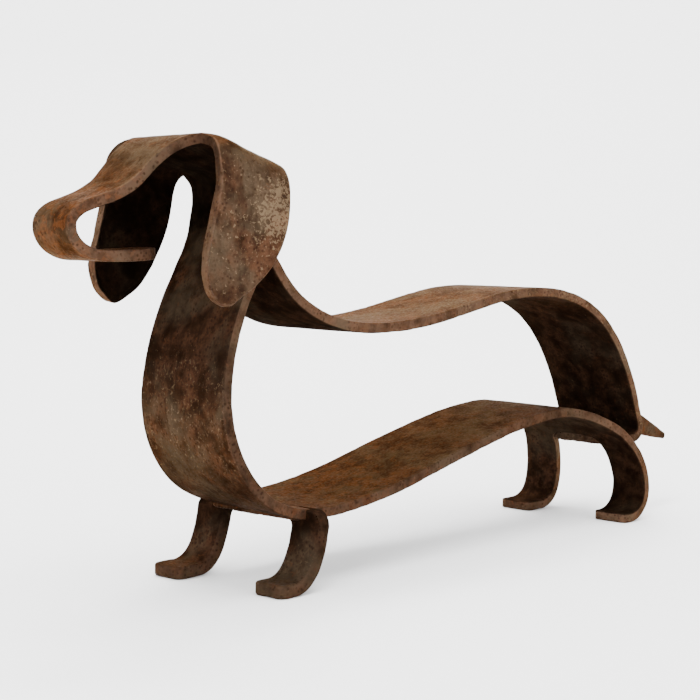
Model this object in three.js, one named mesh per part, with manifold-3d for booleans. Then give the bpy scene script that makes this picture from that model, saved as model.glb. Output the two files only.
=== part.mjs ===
// Dachshund figure bent from flat steel bar.
// Frame: millimetres, +Z up, nose towards -X, tail towards +X, feet on Z = 0.
// Stations below are [x, z] or [x, z, half width] on the middle of the plate's thickness, with x
// counted back from the tip of the nose. The finished figure is centred over the origin at the end.

import * as THREE from 'three';
import { mergeVertices } from 'three/addons/utils/BufferGeometryUtils.js';
import Module from 'manifold-3d';

const wasm = await Module();
wasm.setup();

// Stock
const PLATE = 6.4;             // thickness of the long plate: head, ears, chest, belly, hind legs
const BAR_HALF = 38;           // half width of the long plate from neck to hips
const BACK_PLATE = 6.4;        // thickness of the back bar
const BACK_INSET = 2;          // the back bar's edge stands in from the long plate's by this much
const LEG_PLATE = 8;           // thickness of the front leg plate
const TAIL_PLATE = 7;          // thickness of the tail
const GAP = 0.3;               // clearance left at each welded joint

// Head
const NOSE_HALF = 16.8;        // half width of the nose loop and the jaw
const JAW_ROUND = 18;          // length over which the jaw's free end is rounded
const JAW_BLUNT = 0.2;         // share of its width that the jaw keeps at the very tip
const BROW_HALF = 30.5;        // half width where the brow runs out into the front of the ears
const EAR_FRONT_OUT = 13.2;    // from the bar's edge out to the ear's sheet, at its front edge
const EAR_REAR_OUT = 16.5;     // the same at its rear edge
const EAR_ROWS = 24;           // rows of facets down an ear
const BULGE_FADE = 6;          // power by which the crown's curve fades out down the ear
// The ears were folded by hand: heights of the fold at its front and rear, how far forward the ear
// hangs, and the height of its lowest point
const NEAR_EAR = { side: -1, foldFront: 27, foldRear: 12, swell: 0, forward: 0, lowest: 164.9 };
const FAR_EAR = { side: 1, foldFront: 8, foldRear: 42, swell: 5.5, forward: 0.7, lowest: 163.4 };
const SWELL_DROPS = [50, 70];  // drops below the crown between which the rear edge's swell grows

// Hind legs
const HIP_FLARE = 13.5;        // from the bar's edge out to the outer edge of the hind leg
const HIND_INNER = 24.5;       // inner edge of the hind leg at the ankle
const HIND_TOES = { near: 8, far: 14.5 };    // straight length of each hind sole
const NOTCH_HALF = 9;          // half width of the flat top of the notch between the hind legs
const NOTCH_WIDE = 20;         // half width of the notch below its rounded corners
const NOTCH_CORNER = 9;        // length of plate over which the notch opens to that
const HIND_SKEW = 0.08;        // the hip is bent out of square: near leg back, far leg forward
const SKEW_RUN = 85;           // length of plate over which that skew grows
const TOE_ROUND = 5;           // corner radius of every toe, seen from above

// Front legs
const FRONT_OUTER = 50.5;      // outer edge of the front leg
const FRONT_INNER = 27;        // inner edge of the front leg
const FRONT_TOES = { near: 12.5, far: 17 };   // straight length of each front sole
const SHOULDER_ROUND = 9;      // corner radius of the shoulder beside the chest
const CROTCH_ROUND = 5;        // corner radius between the leg and the cross piece
const CROSS_DEPTH = PLATE + 0.8;    // from the shoulder's top down to the cross piece's lower edge
const FRONT_SKEW = 0.11;       // the front leg plate is welded on askew, the same way as the hips

// Tail
const TAIL_TIP_ROUND = 2.5;    // radius of the tail's tip
const TAIL_SEGMENTS = 10;      // facets along each curved edge of the tail

// Faceting
const MAX_TURN = 0.12;         // radians of bend per facet
const MAX_STEP = 11;           // length of plate per facet
const CURVE_SAMPLES = 400;     // points that a curve is measured at before it is cut into facets
const CORNER_STEPS = 5;        // facets of a rounded corner

// Side profile of the long plate: stations [x, z, half width], from the jaw's end to the hind toe.
// The last station of each leg only sets the direction of its flat sole.
const JAW = [[62.4, 193.1, NOSE_HALF], [46.4, 192.3, NOSE_HALF], [28.4, 191.9, NOSE_HALF],
  [15.8, 193.1, NOSE_HALF]];
const NOSE = [[7.1, 197.3, NOSE_HALF], [2.4, 204, NOSE_HALF], [2.6, 211, NOSE_HALF],
  [7.6, 216.2, NOSE_HALF]];
const MUZZLE = [[16.6, 219.8, NOSE_HALF], [28, 223.6, NOSE_HALF + 1.6],
  [38.4, 229.2, NOSE_HALF + 2.9], [46.7, 236.5, NOSE_HALF + 3.8], [54.9, 244.5, NOSE_HALF + 5.5],
  [64.2, 250.6, NOSE_HALF + 8]];
const BROW = [[73.9, 254.1, BROW_HALF]];
const CROWN = [[82.4, 252.2, BAR_HALF], [90.4, 248.4, BAR_HALF], [98.4, 245.5, BAR_HALF],
  [106.4, 242.8, BAR_HALF]];
const NAPE = [[115.8, 238.9, BAR_HALF]];
const NECK = [[121.8, 231.8, BAR_HALF], [123.2, 221.6, BAR_HALF], [121.3, 211, BAR_HALF],
  [118.2, 200.7, BAR_HALF - 1], [108.4, 182, BAR_HALF - 1.6], [98.1, 162, BAR_HALF - 1.6]];
const CHEST = [[88.9, 135.5, BAR_HALF - 1], [85.6, 107, BAR_HALF + 0.5], [91.7, 81, BAR_HALF + 2],
  [107.5, 58.8, BAR_HALF + 2.5], [131.4, 45.4, BAR_HALF + 1.5]];
const BELLY = [[164.4, 42.4, BAR_HALF], [212.4, 48.5, BAR_HALF], [272.4, 63.5, BAR_HALF],
  [332.4, 77.1, BAR_HALF], [374.4, 81.4, BAR_HALF]];
const HIP = [[391.4, 79.7, BAR_HALF], [408.4, 75.3, BAR_HALF + 0.11 * HIP_FLARE],
  [421.9, 69.5, BAR_HALF + 0.26 * HIP_FLARE], [430.6, 64.5, BAR_HALF + 0.4 * HIP_FLARE],
  [436.2, 59.9, BAR_HALF + 0.5 * HIP_FLARE]];
const HIND_LEG = [[444.7, 49.2, BAR_HALF + 0.7 * HIP_FLARE], [449.2, 38.5, BAR_HALF + 0.85 * HIP_FLARE],
  [451.2, 27.3, BAR_HALF + 0.95 * HIP_FLARE], [450.3, 17.3, BAR_HALF + HIP_FLARE],
  [446.5, 9.6, BAR_HALF + HIP_FLARE], [440, 4.9, BAR_HALF + HIP_FLARE],
  [433, PLATE / 2, BAR_HALF + HIP_FLARE], [424.9, PLATE / 2, BAR_HALF + HIP_FLARE]];

// Ear outline: [x, drop below the crown], down to the x of the ear's lowest point.
const EAR_FRONT_EDGE = [[74.6, 2.5], [72.6, 8], [70.6, 15], [69.6, 24], [67, 34], [63.2, 48.5],
  [60, 60.5], [59.3, 71], [62, 81.5], [67, 87.2]];
const EAR_REAR_EDGE = [[115.8, 2], [115, 6], [114.8, 12], [114.8, 20], [113.8, 28.5], [110.8, 38.5],
  [105.6, 48], [98.4, 56.5], [89.4, 64.5], [81.2, 69.8]];
const EAR_LOWEST = 73.4;

// Side profile of the back bar, from the neck to the hind legs.
const BACK = [[116, 195], [122.9, 185.5], [129, 177.1], [137.4, 168.3], [146.9, 161.4],
  [158.9, 155.4], [173.4, 150.6], [190.4, 147.7], [212.4, 147], [236.4, 148.3], [262.4, 151.9],
  [290.4, 157.3], [318.4, 162.2], [345.4, 163.9], [369.4, 162.7], [391, 158.1], [409.4, 150.5],
  [425.4, 139.5], [439.2, 124.9], [450.2, 108.1], [458.4, 91.1], [463.2, 77.5]];
const RUMP_CURL = [[467, 66], [466.9, 60], [462.3, 56.6], [455, 56], [434, 56]];

// Side profile of the front legs, from the shoulder to the toe.
const FRONT_LEG = [[140.9, 46], [140.9, 41.5], [140.4, 35.5], [138.7, 28], [135.9, 19.2], [131.8, 11.6],
  [126.4, 6.4], [119.6, LEG_PLATE / 2], [109.9, LEG_PLATE / 2]];

// Side outline of the tail: where each edge leaves the rump, the tip, and how the edges bow. Each
// edge bends towards a point at a share of the way to the tip and a rise from the straight line there.
const TAIL_ROOT_TOP = [458.3, 88.5];
const TAIL_ROOT_FOOT = [466.6, 65];
const TAIL_TIP = [542.6, 46.6];
const TAIL_TOP_BOW = { share: 0.459, rise: 7.2 };
const TAIL_FOOT_BOW = { share: 0.545, rise: -5 };

const RUST = { brown: 0x5b3a29, dark: 0x4a2f20, orange: 0x6b3f27 };

/** Spline through the stations; a point's y is the half width there. */
function spline(stations) {
  const points = stations.map(([x, z, half]) => new THREE.Vector3(x, half, z));
  return new THREE.CatmullRomCurve3(points, false, 'centripetal');
}

/** Points on the curve between two parameters, closer together where it bends. */
function facetRow(curve, from, to) {
  const points = [];
  for (let i = 0; i <= CURVE_SAMPLES; i += 1) {
    points.push(curve.getPoint(from + (to - from) * i / CURVE_SAMPLES));
  }
  const measure = [0];
  for (let i = 1; i <= CURVE_SAMPLES; i += 1) {
    const step = points[i].clone().sub(points[i - 1]);
    const before = points[i - 1].clone().sub(points[Math.max(i - 2, 0)]);
    const turn = i > 1 ? before.angleTo(step) : 0;
    measure.push(measure[i - 1] + step.length() / MAX_STEP + turn / MAX_TURN);
  }
  const total = measure[CURVE_SAMPLES];
  const count = Math.max(1, Math.ceil(total));
  const row = [points[0]];
  let k = 0;
  for (let i = 1; i < count; i += 1) {
    const wanted = total * i / count;
    while (measure[k + 1] < wanted) {
      k += 1;
    }
    const share = (wanted - measure[k]) / (measure[k + 1] - measure[k]);
    row.push(points[k].clone().lerp(points[k + 1], share));
  }
  row.push(points[CURVE_SAMPLES]);
  return row;
}

/** Distance from the first point along a row of points, seen from the side. */
function distances(row) {
  const out = [0];
  for (let i = 1; i < row.length; i += 1) {
    out.push(out[i - 1] + Math.hypot(row[i].x - row[i - 1].x, row[i].z - row[i - 1].z));
  }
  return out;
}

/** The row with extra points at the given distances along it. */
function withStops(row, stops) {
  const along = distances(row);
  const points = row.map((point, i) => [along[i], point]);
  for (const stop of stops) {
    const i = along.findIndex((distance) => distance > stop);
    if (i > 0 && along.every((distance) => Math.abs(distance - stop) > GAP)) {
      const share = (stop - along[i - 1]) / (along[i] - along[i - 1]);
      points.push([stop, row[i - 1].clone().lerp(row[i], share)]);
    }
  }
  return points.sort((a, b) => a[0] - b[0]).map(([, point]) => point);
}

/** Distances from its square end at which a quarter-round corner is cut into facets. */
function cornerStops(length) {
  const stops = [];
  for (let i = 1; i <= CORNER_STEPS; i += 1) {
    stops.push(length * (1 - Math.cos(Math.PI / 2 * i / CORNER_STEPS)));
  }
  return stops;
}

/** Share of its full width that a quarter-round corner has reached at a distance from its end. */
function rounding(distance, length) {
  const left = Math.max(0, 1 - distance / length);
  return Math.sqrt(1 - left * left);
}

/** Solid from the vertices and triangles of a closed mesh. */
function manifold(vertices, faces) {
  return new wasm.Manifold(new wasm.Mesh({
    numProp: 3,
    vertProperties: new Float32Array(vertices),
    triVerts: new Uint32Array(faces),
  }));
}

/** A bent sheet: a mesh of the middle of its thickness, thickened into a closed solid. */
class Sheet {
  constructor() {
    this.points = [];
    this.index = new Map();
    this.triangles = [];
  }

  vertex(point) {
    const key = [point.x, point.y, point.z].map((value) => Math.round(value * 1000)).join();
    if (!this.index.has(key)) {
      this.index.set(key, this.points.length);
      this.points.push(point.clone());
    }
    return this.index.get(key);
  }

  triangle(corners) {
    if (new Set(corners).size === 3) {
      this.triangles.push(corners);
    }
  }

  /** Adds a grid of points. With its rows running back and its columns towards +Y, +Z is above. */
  grid(rows, flip = false) {
    const ids = rows.map((row) => row.map((point) => this.vertex(point)));
    for (let i = 0; i + 1 < ids.length; i += 1) {
      for (let j = 0; j + 1 < ids[i].length; j += 1) {
        const [a, b, c, d] = [ids[i][j], ids[i + 1][j], ids[i + 1][j + 1], ids[i][j + 1]];
        this.triangle(flip ? [a, c, b] : [a, b, c]);
        this.triangle(flip ? [a, d, c] : [a, c, d]);
      }
    }
    return this;
  }

  normals() {
    const normals = this.points.map(() => new THREE.Vector3());
    for (const [a, b, c] of this.triangles) {
      const side = this.points[b].clone().sub(this.points[a]);
      const normal = side.cross(this.points[c].clone().sub(this.points[a]));
      for (const id of [a, b, c]) {
        normals[id].add(normal);
      }
    }
    return normals.map((normal) => normal.normalize());
  }

  /** Closed solid that reaches `above` over the middle of the sheet and `below` under it. */
  solid(above, below = above) {
    const normals = this.normals();
    const upper = this.points.map((point, id) => point.clone().addScaledVector(normals[id], above));
    const lower = this.points.map((point, id) => point.clone().addScaledVector(normals[id], -below));
    const count = this.points.length;
    const faces = [];
    const edges = new Set();
    for (const [a, b, c] of this.triangles) {
      faces.push(a, b, c, count + a, count + c, count + b);
      for (const edge of [[a, b], [b, c], [c, a]]) {
        edges.add(edge.join());
      }
    }
    for (const edge of edges) {
      const [from, to] = edge.split(',').map(Number);
      if (!edges.has([to, from].join())) {
        faces.push(to, from, count + from, to, count + from, count + to);
      }
    }
    return manifold([...upper, ...lower].flatMap((point) => point.toArray()), faces);
  }
}

/** Straight cross-sections of a bar, with points at the given shares of its half width. */
function crossSections(row, shares) {
  return row.map((point) => shares.map((share) => new THREE.Vector3(point.x, share * point.y, point.z)));
}

/** The same rows sheared: the near side goes back and the far side forward, by each row's skew. */
function sheared(rows, skews) {
  return rows.map((row, i) => row.map((point) => {
    const x = point.x - skews[i] * point.y;
    return new THREE.Vector3(x, point.y, point.z);
  }));
}

/** Mirror image of a grid across the centre plane. */
function mirrored(rows) {
  return rows.map((row) => row.map((point) => new THREE.Vector3(point.x, -point.y, point.z)));
}

// Rows of the long plate, shared with what is fitted against it
const PROFILE = [JAW, NOSE, MUZZLE, BROW, CROWN, NAPE, NECK, CHEST, BELLY, HIP, HIND_LEG];
const PROFILE_CURVE = spline(PROFILE.flat());
const LAST_STATION = PROFILE.flat().length - 1;

/** The profile's curve parameter at the first station of a section. */
function startOf(section) {
  return PROFILE.slice(0, PROFILE.indexOf(section)).flat().length / LAST_STATION;
}

const hipEnd = startOf(HIND_LEG) - 1 / LAST_STATION;
const faceRow = facetRow(PROFILE_CURVE, 0, startOf(BROW));
const crownRow = facetRow(PROFILE_CURVE, startOf(BROW), startOf(NAPE));
const bodyRow = facetRow(PROFILE_CURVE, startOf(NAPE), startOf(HIP));
const hipRow = facetRow(PROFILE_CURVE, startOf(HIP), hipEnd);
const ankleRow = facetRow(PROFILE_CURVE, hipEnd, 1 - 1 / LAST_STATION)
  .map((point) => point.clone().setY(Math.min(point.y, BAR_HALF + HIP_FLARE)));

/** Skews of the rows of the hips and one hind leg, growing from the belly's crest. */
function haunchSkews(legRow) {
  return distances([...hipRow, ...legRow.slice(1)])
    .map((distance) => HIND_SKEW * THREE.MathUtils.smoothstep(distance, 0, SKEW_RUN));
}

/** A leg's row carried on along its flat sole, with stops for the toe's round corners. */
function withSole(row, length) {
  const heel = row.at(-1);
  const toe = new THREE.Vector3(heel.x - length, heel.y, heel.z);
  const whole = [...row, toe];
  const end = distances(whole).at(-1);
  return withStops(whole, cornerStops(TOE_ROUND).map((stop) => end - stop));
}

/** Grid of one leg between its inner and outer edge, with rounded toe corners. */
function legGrid(row, inner, side) {
  const along = distances(row);
  const end = along.at(-1);
  return row.map((point, i) => {
    const loss = TOE_ROUND * (1 - rounding(end - along[i], TOE_ROUND));
    const edges = [inner(along[i], end) + loss, point.y - loss];
    const ys = side < 0 ? [-edges[1], -edges[0]] : edges;
    return ys.map((y) => new THREE.Vector3(point.x, y, point.z));
  });
}

/** The head from the jaw's free end to the brow, as a row with the jaw's end rounded. */
function roundedFace() {
  const row = withStops(faceRow, cornerStops(JAW_ROUND));
  distances(row).forEach((distance, i) => {
    row[i] = row[i].clone();
    row[i].y *= Math.max(JAW_BLUNT, rounding(distance, JAW_ROUND));
  });
  return row;
}

/** Stations of an ear's edge, from its root on the crown out over the fold to the lowest point. */
function earEdge(root, outline, out, fold, swell, { forward, lowest }) {
  const half = BAR_HALF + out;
  const points = outline.map(([x, drop]) => {
    const folded = rounding(drop, fold);
    const swollen = x + swell * THREE.MathUtils.smoothstep(drop, ...SWELL_DROPS);
    const y = root.y + (half - root.y) * folded;
    return new THREE.Vector3(swollen - forward * folded, y, root.z - drop);
  });
  const middle = BAR_HALF + (EAR_FRONT_OUT + EAR_REAR_OUT) / 2;
  const end = new THREE.Vector3(EAR_LOWEST - forward, middle, lowest);
  return [root.clone(), ...points, end];
}

/** Place on an ear's edge for a share of the way down; it runs on smoothly into the other edge. */
function downEdge(edge, other) {
  const curve = new THREE.CatmullRomCurve3([...edge, other.at(-2)], false, 'centripetal');
  const lowest = 1 - 1 / edge.length;
  return (down) => curve.getPoint(down * lowest);
}

/** Grid of an ear: rows from the crown down, columns from its front edge to its rear edge. */
function earGrid(root, ear) {
  const last = root.length - 1;
  const frontEdge = earEdge(root[0], EAR_FRONT_EDGE, EAR_FRONT_OUT, ear.foldFront, 0, ear);
  const rearEdge = earEdge(root[last], EAR_REAR_EDGE, EAR_REAR_OUT, ear.foldRear, ear.swell, ear);
  const front = downEdge(frontEdge, rearEdge);
  const rear = downEdge(rearEdge, frontEdge);
  const rows = [root];
  for (let i = 1; i <= EAR_ROWS; i += 1) {
    const down = i / EAR_ROWS;
    const ends = [front(down), rear(down)];
    rows.push(root.map((point, j) => {
      const share = j / last;
      const bulge = point.clone().sub(root[0].clone().lerp(root[last], share));
      return ends[0].clone().lerp(ends[1], share).addScaledVector(bulge, (1 - down) ** BULGE_FADE);
    }));
  }
  return ear.side < 0 ? mirrored(rows) : rows;
}

/** The long plate: jaw, nose, muzzle, crown with both ears, neck, chest, belly, hips, hind legs. */
function bodyPlate() {
  const notch = NOTCH_HALF / hipRow.at(-1).y;
  const shares = [-1, -notch, notch, 1];
  const inner = (distance, end) => {
    if (distance < NOTCH_CORNER) {
      return NOTCH_HALF + (NOTCH_WIDE - NOTCH_HALF) * rounding(distance, NOTCH_CORNER);
    }
    const down = Math.min(1, 2 * (distance - NOTCH_CORNER) / end);
    return NOTCH_WIDE + (HIND_INNER - NOTCH_WIDE) * Math.sin(down * Math.PI / 2);
  };
  const strip = [...roundedFace(), ...crownRow.slice(1), ...bodyRow.slice(1)];
  const sheet = new Sheet();
  sheet.grid(crossSections(strip, shares));
  sheet.grid(sheared(crossSections(hipRow, shares), haunchSkews(ankleRow)));
  for (const [side, toe] of [[-1, HIND_TOES.near], [1, HIND_TOES.far]]) {
    const row = withSole(ankleRow, toe);
    sheet.grid(sheared(legGrid(row, inner, side), haunchSkews(row).slice(hipRow.length - 1)));
  }
  for (const ear of [NEAR_EAR, FAR_EAR]) {
    sheet.grid(earGrid(crownRow, ear), ear.side > 0);
  }
  return sheet.solid(PLATE / 2);
}

/** Space that a stretch of the long plate takes, with the welding gap round it. */
function plateSpace(row, skews, above, below) {
  const wide = row.map((point) => point.clone().setY(point.y + GAP));
  const rows = sheared(crossSections(wide, [-1, 1]), skews);
  return new Sheet().grid(rows).solid(PLATE / 2 + GAP + above, PLATE / 2 + GAP + below);
}

/** Sheet of the back bar, from inside the neck to inside the hips. */
function backSheet() {
  const stations = [...BACK, ...RUMP_CURL].map(([x, z]) => [x, z, BAR_HALF - BACK_INSET]);
  return new Sheet().grid(crossSections(facetRow(spline(stations), 0, 1), [-1, 1]));
}

/** The back bar, cut to the back of the neck and to the back of the hips. */
function backBar() {
  const cut = 2 * BACK_PLATE;
  const neck = bodyRow.filter((point) => point.z > CHEST[0][1]);
  const rump = [...hipRow, ...ankleRow.slice(1)].filter((point) => point.z > HIND_LEG[1][1]);
  const straight = neck.map(() => 0);
  return backSheet().solid(BACK_PLATE / 2)
    .subtract(plateSpace(neck, straight, 0, cut))
    .subtract(plateSpace(rump, haunchSkews(ankleRow), 0, cut));
}

/** The front leg plate: two legs and the cross piece under the chest, notched round the bar. */
function frontLegs() {
  const stations = FRONT_LEG.map(([x, z]) => [x, z, FRONT_OUTER]);
  const bent = facetRow(spline(stations), 0, 1 - 1 / (stations.length - 1));
  const row = withStops(bent, [CROSS_DEPTH, ...cornerStops(SHOULDER_ROUND),
    ...cornerStops(CROTCH_ROUND).map((stop) => CROSS_DEPTH + stop)]);
  const along = distances(row);
  const crotch = along.findIndex((distance) => distance > CROSS_DEPTH - GAP);
  row.forEach((point, i) => {
    point.y -= SHOULDER_ROUND * (1 - rounding(along[i], SHOULDER_ROUND));
  });
  const narrow = FRONT_INNER - CROTCH_ROUND;
  const shoulders = row.slice(0, crotch + 1).map((point) => {
    return [-point.y, -narrow, narrow, point.y].map((y) => new THREE.Vector3(point.x, y, point.z));
  });
  const inner = (distance) => narrow + CROTCH_ROUND * rounding(distance, CROTCH_ROUND);
  const slanted = (rows) => sheared(rows, rows.map(() => FRONT_SKEW));
  const sheet = new Sheet().grid(slanted(shoulders));
  for (const [side, toe] of [[-1, FRONT_TOES.near], [1, FRONT_TOES.far]]) {
    sheet.grid(slanted(legGrid(withSole(row.slice(crotch), toe), inner, side)));
  }
  const under = bodyRow.filter((point) => point.z < CHEST[2][1] && point.x < BELLY[1][0]);
  const straight = under.map(() => 0);
  return sheet.solid(LEG_PLATE / 2).subtract(plateSpace(under, straight, 2 * PLATE, 0));
}

/** The point that an edge of the tail bends towards between its root and the tip. */
function tailBend(root, { share, rise }) {
  const [x, z] = root.map((value, i) => value + share * (TAIL_TIP[i] - value));
  return [x, z + rise];
}

/** The tail: a tapered upright plate, cut to the back of the rump. */
function tail() {
  const [x, z] = TAIL_TIP;
  const top = tailBend(TAIL_ROOT_TOP, TAIL_TOP_BOW);
  const foot = tailBend(TAIL_ROOT_FOOT, TAIL_FOOT_BOW);
  const slope = Math.atan2(z - top[1], x - top[0]) + Math.PI / 2;
  const under = Math.atan2(z - foot[1], x - foot[0]) - Math.PI / 2;
  const shape = new THREE.Shape();
  shape.moveTo(...TAIL_ROOT_TOP);
  shape.quadraticCurveTo(...top, x + TAIL_TIP_ROUND * Math.cos(slope),
    z + TAIL_TIP_ROUND * Math.sin(slope));
  shape.absarc(x, z, TAIL_TIP_ROUND, slope, under, true);
  shape.quadraticCurveTo(...foot, ...TAIL_ROOT_FOOT);
  const settings = { depth: TAIL_PLATE, bevelEnabled: false, curveSegments: TAIL_SEGMENTS };
  const geometry = new THREE.ExtrudeGeometry(shape, settings);
  geometry.rotateX(Math.PI / 2);
  geometry.translate(0, TAIL_PLATE / 2, 0);
  geometry.deleteAttribute('normal');
  geometry.deleteAttribute('uv');
  const merged = mergeVertices(geometry);
  return manifold(merged.getAttribute('position').array, merged.index.array)
    .subtract(backSheet().solid(BACK_PLATE / 2 + GAP));
}

/** Named mesh of a finished solid. */
function piece(name, solid, color) {
  const mesh = solid.getMesh();
  const geometry = new THREE.BufferGeometry();
  geometry.setAttribute('position', new THREE.BufferAttribute(new Float32Array(mesh.vertProperties), 3));
  geometry.setIndex(new THREE.BufferAttribute(new Uint32Array(mesh.triVerts), 1));
  geometry.computeVertexNormals();
  const material = new THREE.MeshStandardMaterial({ color, roughness: 0.85, metalness: 0.4 });
  const object = new THREE.Mesh(geometry, material);
  object.name = name;
  return object;
}

const group = new THREE.Group();
group.add(
  piece('body_plate', bodyPlate(), RUST.brown),
  piece('back_bar', backBar(), RUST.dark),
  piece('front_legs', frontLegs(), RUST.brown),
  piece('tail', tail(), RUST.orange),
);

const box = new THREE.Box3().setFromObject(group);
const centre = box.getCenter(new THREE.Vector3());
group.position.set(-centre.x, -centre.y, -box.min.z);

export default group;
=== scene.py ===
"""Looks of a long, low dachshund figure bent from rusted flat steel bar.

The figure is four plates: one cut and bent plate from the jaw over the head, chest and belly to the
hind toes, a back bar, a plate with both front legs, and a tail. Lengths in the classes are
millimetres, with x counted back from the tip of the nose, y across towards the figure's right-hand
side and z up from the ground. Finished meshes are in metres in the frame's own place.
"""

import itertools
import logging
import math
from dataclasses import dataclass, field
from enum import Enum
from typing import Callable

import bpy
import numpy as np
from mathutils import Euler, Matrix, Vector


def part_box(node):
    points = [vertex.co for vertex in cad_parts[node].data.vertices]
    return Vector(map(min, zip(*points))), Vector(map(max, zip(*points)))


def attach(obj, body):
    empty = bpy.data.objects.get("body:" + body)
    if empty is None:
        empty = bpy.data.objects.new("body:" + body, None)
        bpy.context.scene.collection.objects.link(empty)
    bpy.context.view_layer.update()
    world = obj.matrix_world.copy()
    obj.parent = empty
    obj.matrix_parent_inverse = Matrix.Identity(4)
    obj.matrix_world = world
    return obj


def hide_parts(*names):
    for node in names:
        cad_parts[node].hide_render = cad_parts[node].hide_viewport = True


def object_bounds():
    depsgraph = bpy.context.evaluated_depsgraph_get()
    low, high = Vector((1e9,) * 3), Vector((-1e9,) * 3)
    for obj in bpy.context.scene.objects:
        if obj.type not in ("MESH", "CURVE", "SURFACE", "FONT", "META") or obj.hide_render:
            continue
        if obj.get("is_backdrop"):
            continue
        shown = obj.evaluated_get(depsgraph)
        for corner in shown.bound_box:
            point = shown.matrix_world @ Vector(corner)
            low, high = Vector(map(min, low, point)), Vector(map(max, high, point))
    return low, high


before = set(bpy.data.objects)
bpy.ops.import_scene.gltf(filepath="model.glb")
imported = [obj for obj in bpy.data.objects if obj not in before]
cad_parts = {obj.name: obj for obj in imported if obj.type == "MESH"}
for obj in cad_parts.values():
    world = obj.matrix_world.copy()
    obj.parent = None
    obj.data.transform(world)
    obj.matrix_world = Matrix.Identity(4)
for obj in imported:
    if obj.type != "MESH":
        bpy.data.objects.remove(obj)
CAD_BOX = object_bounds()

LOG = logging.getLogger("dachshund")
METRE = 0.001
BODY = "root"
TINY = 1e-9

Array = np.ndarray
Span = tuple[float, float]
Spot = tuple[float, float]
Colour = tuple[float, float, float]
Place = tuple[float, float, float]
Socket = bpy.types.NodeSocket
Sockets = dict[str, bpy.types.NodeSocket]


class Slot(Enum):
    """Material slots of the record."""

    BODY = "body_rust"
    BACK = "back_rust"
    LEG = "leg_rust"
    TAIL = "tail_rust"


class Mark(Enum):
    """Names of the values that each vertex carries for the materials."""

    EDGE = "edge_distance"
    # Painted shade, mixed in towards near black; on the weld beads the same mark carries their dark scale.
    SHELTER = "shelter"
    PATCH = "pale_patch"
    WARM = "orange_rust"


def ramp(value: Array, start: float, end: float) -> Array:
    """Smooth step from 0 at start to 1 at end: 3s^2 - 2s^3 of the clipped share s."""
    share = np.clip((value - start) / (end - start), 0.0, 1.0)
    return share * share * (3.0 - 2.0 * share)


def between(value: Array, rise: Span, fall: Span) -> Array:
    """1 on a stretch of values, with a smooth step up over one span and down over another."""
    return ramp(value, *rise) * (1.0 - ramp(value, *fall))


# Cells of the random lattice each way, after which it repeats.
LATTICE_CELLS = 48


def lumps(points: Array, size: float, seed: int) -> Array:
    """Smooth random field from 0 to 1 over points.

    Random numbers on a cubic lattice, size apart, are blended in x, y and z by smooth steps.

    Args:
        points: positions in millimetres, shape (n, 3).
        size: distance between lattice points.
        seed: seed of the lattice.

    Returns:
        One value for each point.
    """
    lattice = np.random.default_rng(seed).random((LATTICE_CELLS, LATTICE_CELLS, LATTICE_CELLS))
    scaled = points / size
    low = np.floor(scaled).astype(np.int64)
    share = ramp(scaled - low, 0.0, 1.0)
    total = np.zeros(len(points))
    for corner in itertools.product((0, 1), repeat=3):
        weight = np.prod(np.where(np.array(corner) == 1, share, 1.0 - share), axis=1)
        index = (low + np.array(corner)) % LATTICE_CELLS
        total += weight * lattice[index[:, 0], index[:, 1], index[:, 2]]
    return total


@dataclass
class Curve:
    """Centripetal Catmull-Rom curve through stations, even in its parameter from one to the next."""

    stations: Array

    def at(self, parameter: Array) -> Array:
        """Points on the curve.

        Each stretch is a cubic between two stations. Its end slopes come from the distances to the
        stations before and after, each distance taken to the power one half.

        Args:
            parameter: values from 0 at the first station to 1 at the last.

        Returns:
            Points, one row for each value.
        """
        known = self.stations
        ends = [2.0 * known[:1] - known[1:2], known, 2.0 * known[-1:] - known[-2:-1]]
        padded = np.concatenate(ends)
        steps = np.sqrt(np.linalg.norm(np.diff(padded, axis=0), axis=1))[:, None]
        scaled = np.clip(parameter, 0.0, 1.0) * (len(known) - 1)
        index = np.minimum(scaled.astype(np.int64), len(known) - 2)
        share = (scaled - index)[:, None]
        before, start, end, after = (padded[index + k] for k in range(4))
        gap_before, gap, gap_after = (steps[index + k] for k in range(3))
        slope_start = (start - before) / gap_before - (end - before) / (gap_before + gap)
        slope_start = (slope_start + (end - start) / gap) * gap
        slope_end = (end - start) / gap - (after - start) / (gap + gap_after)
        slope_end = (slope_end + (after - end) / gap_after) * gap
        square = -3.0 * start + 3.0 * end - 2.0 * slope_start - slope_end
        cube = 2.0 * start - 2.0 * end + slope_start + slope_end
        return start + slope_start * share + square * share ** 2 + cube * share ** 3


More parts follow.
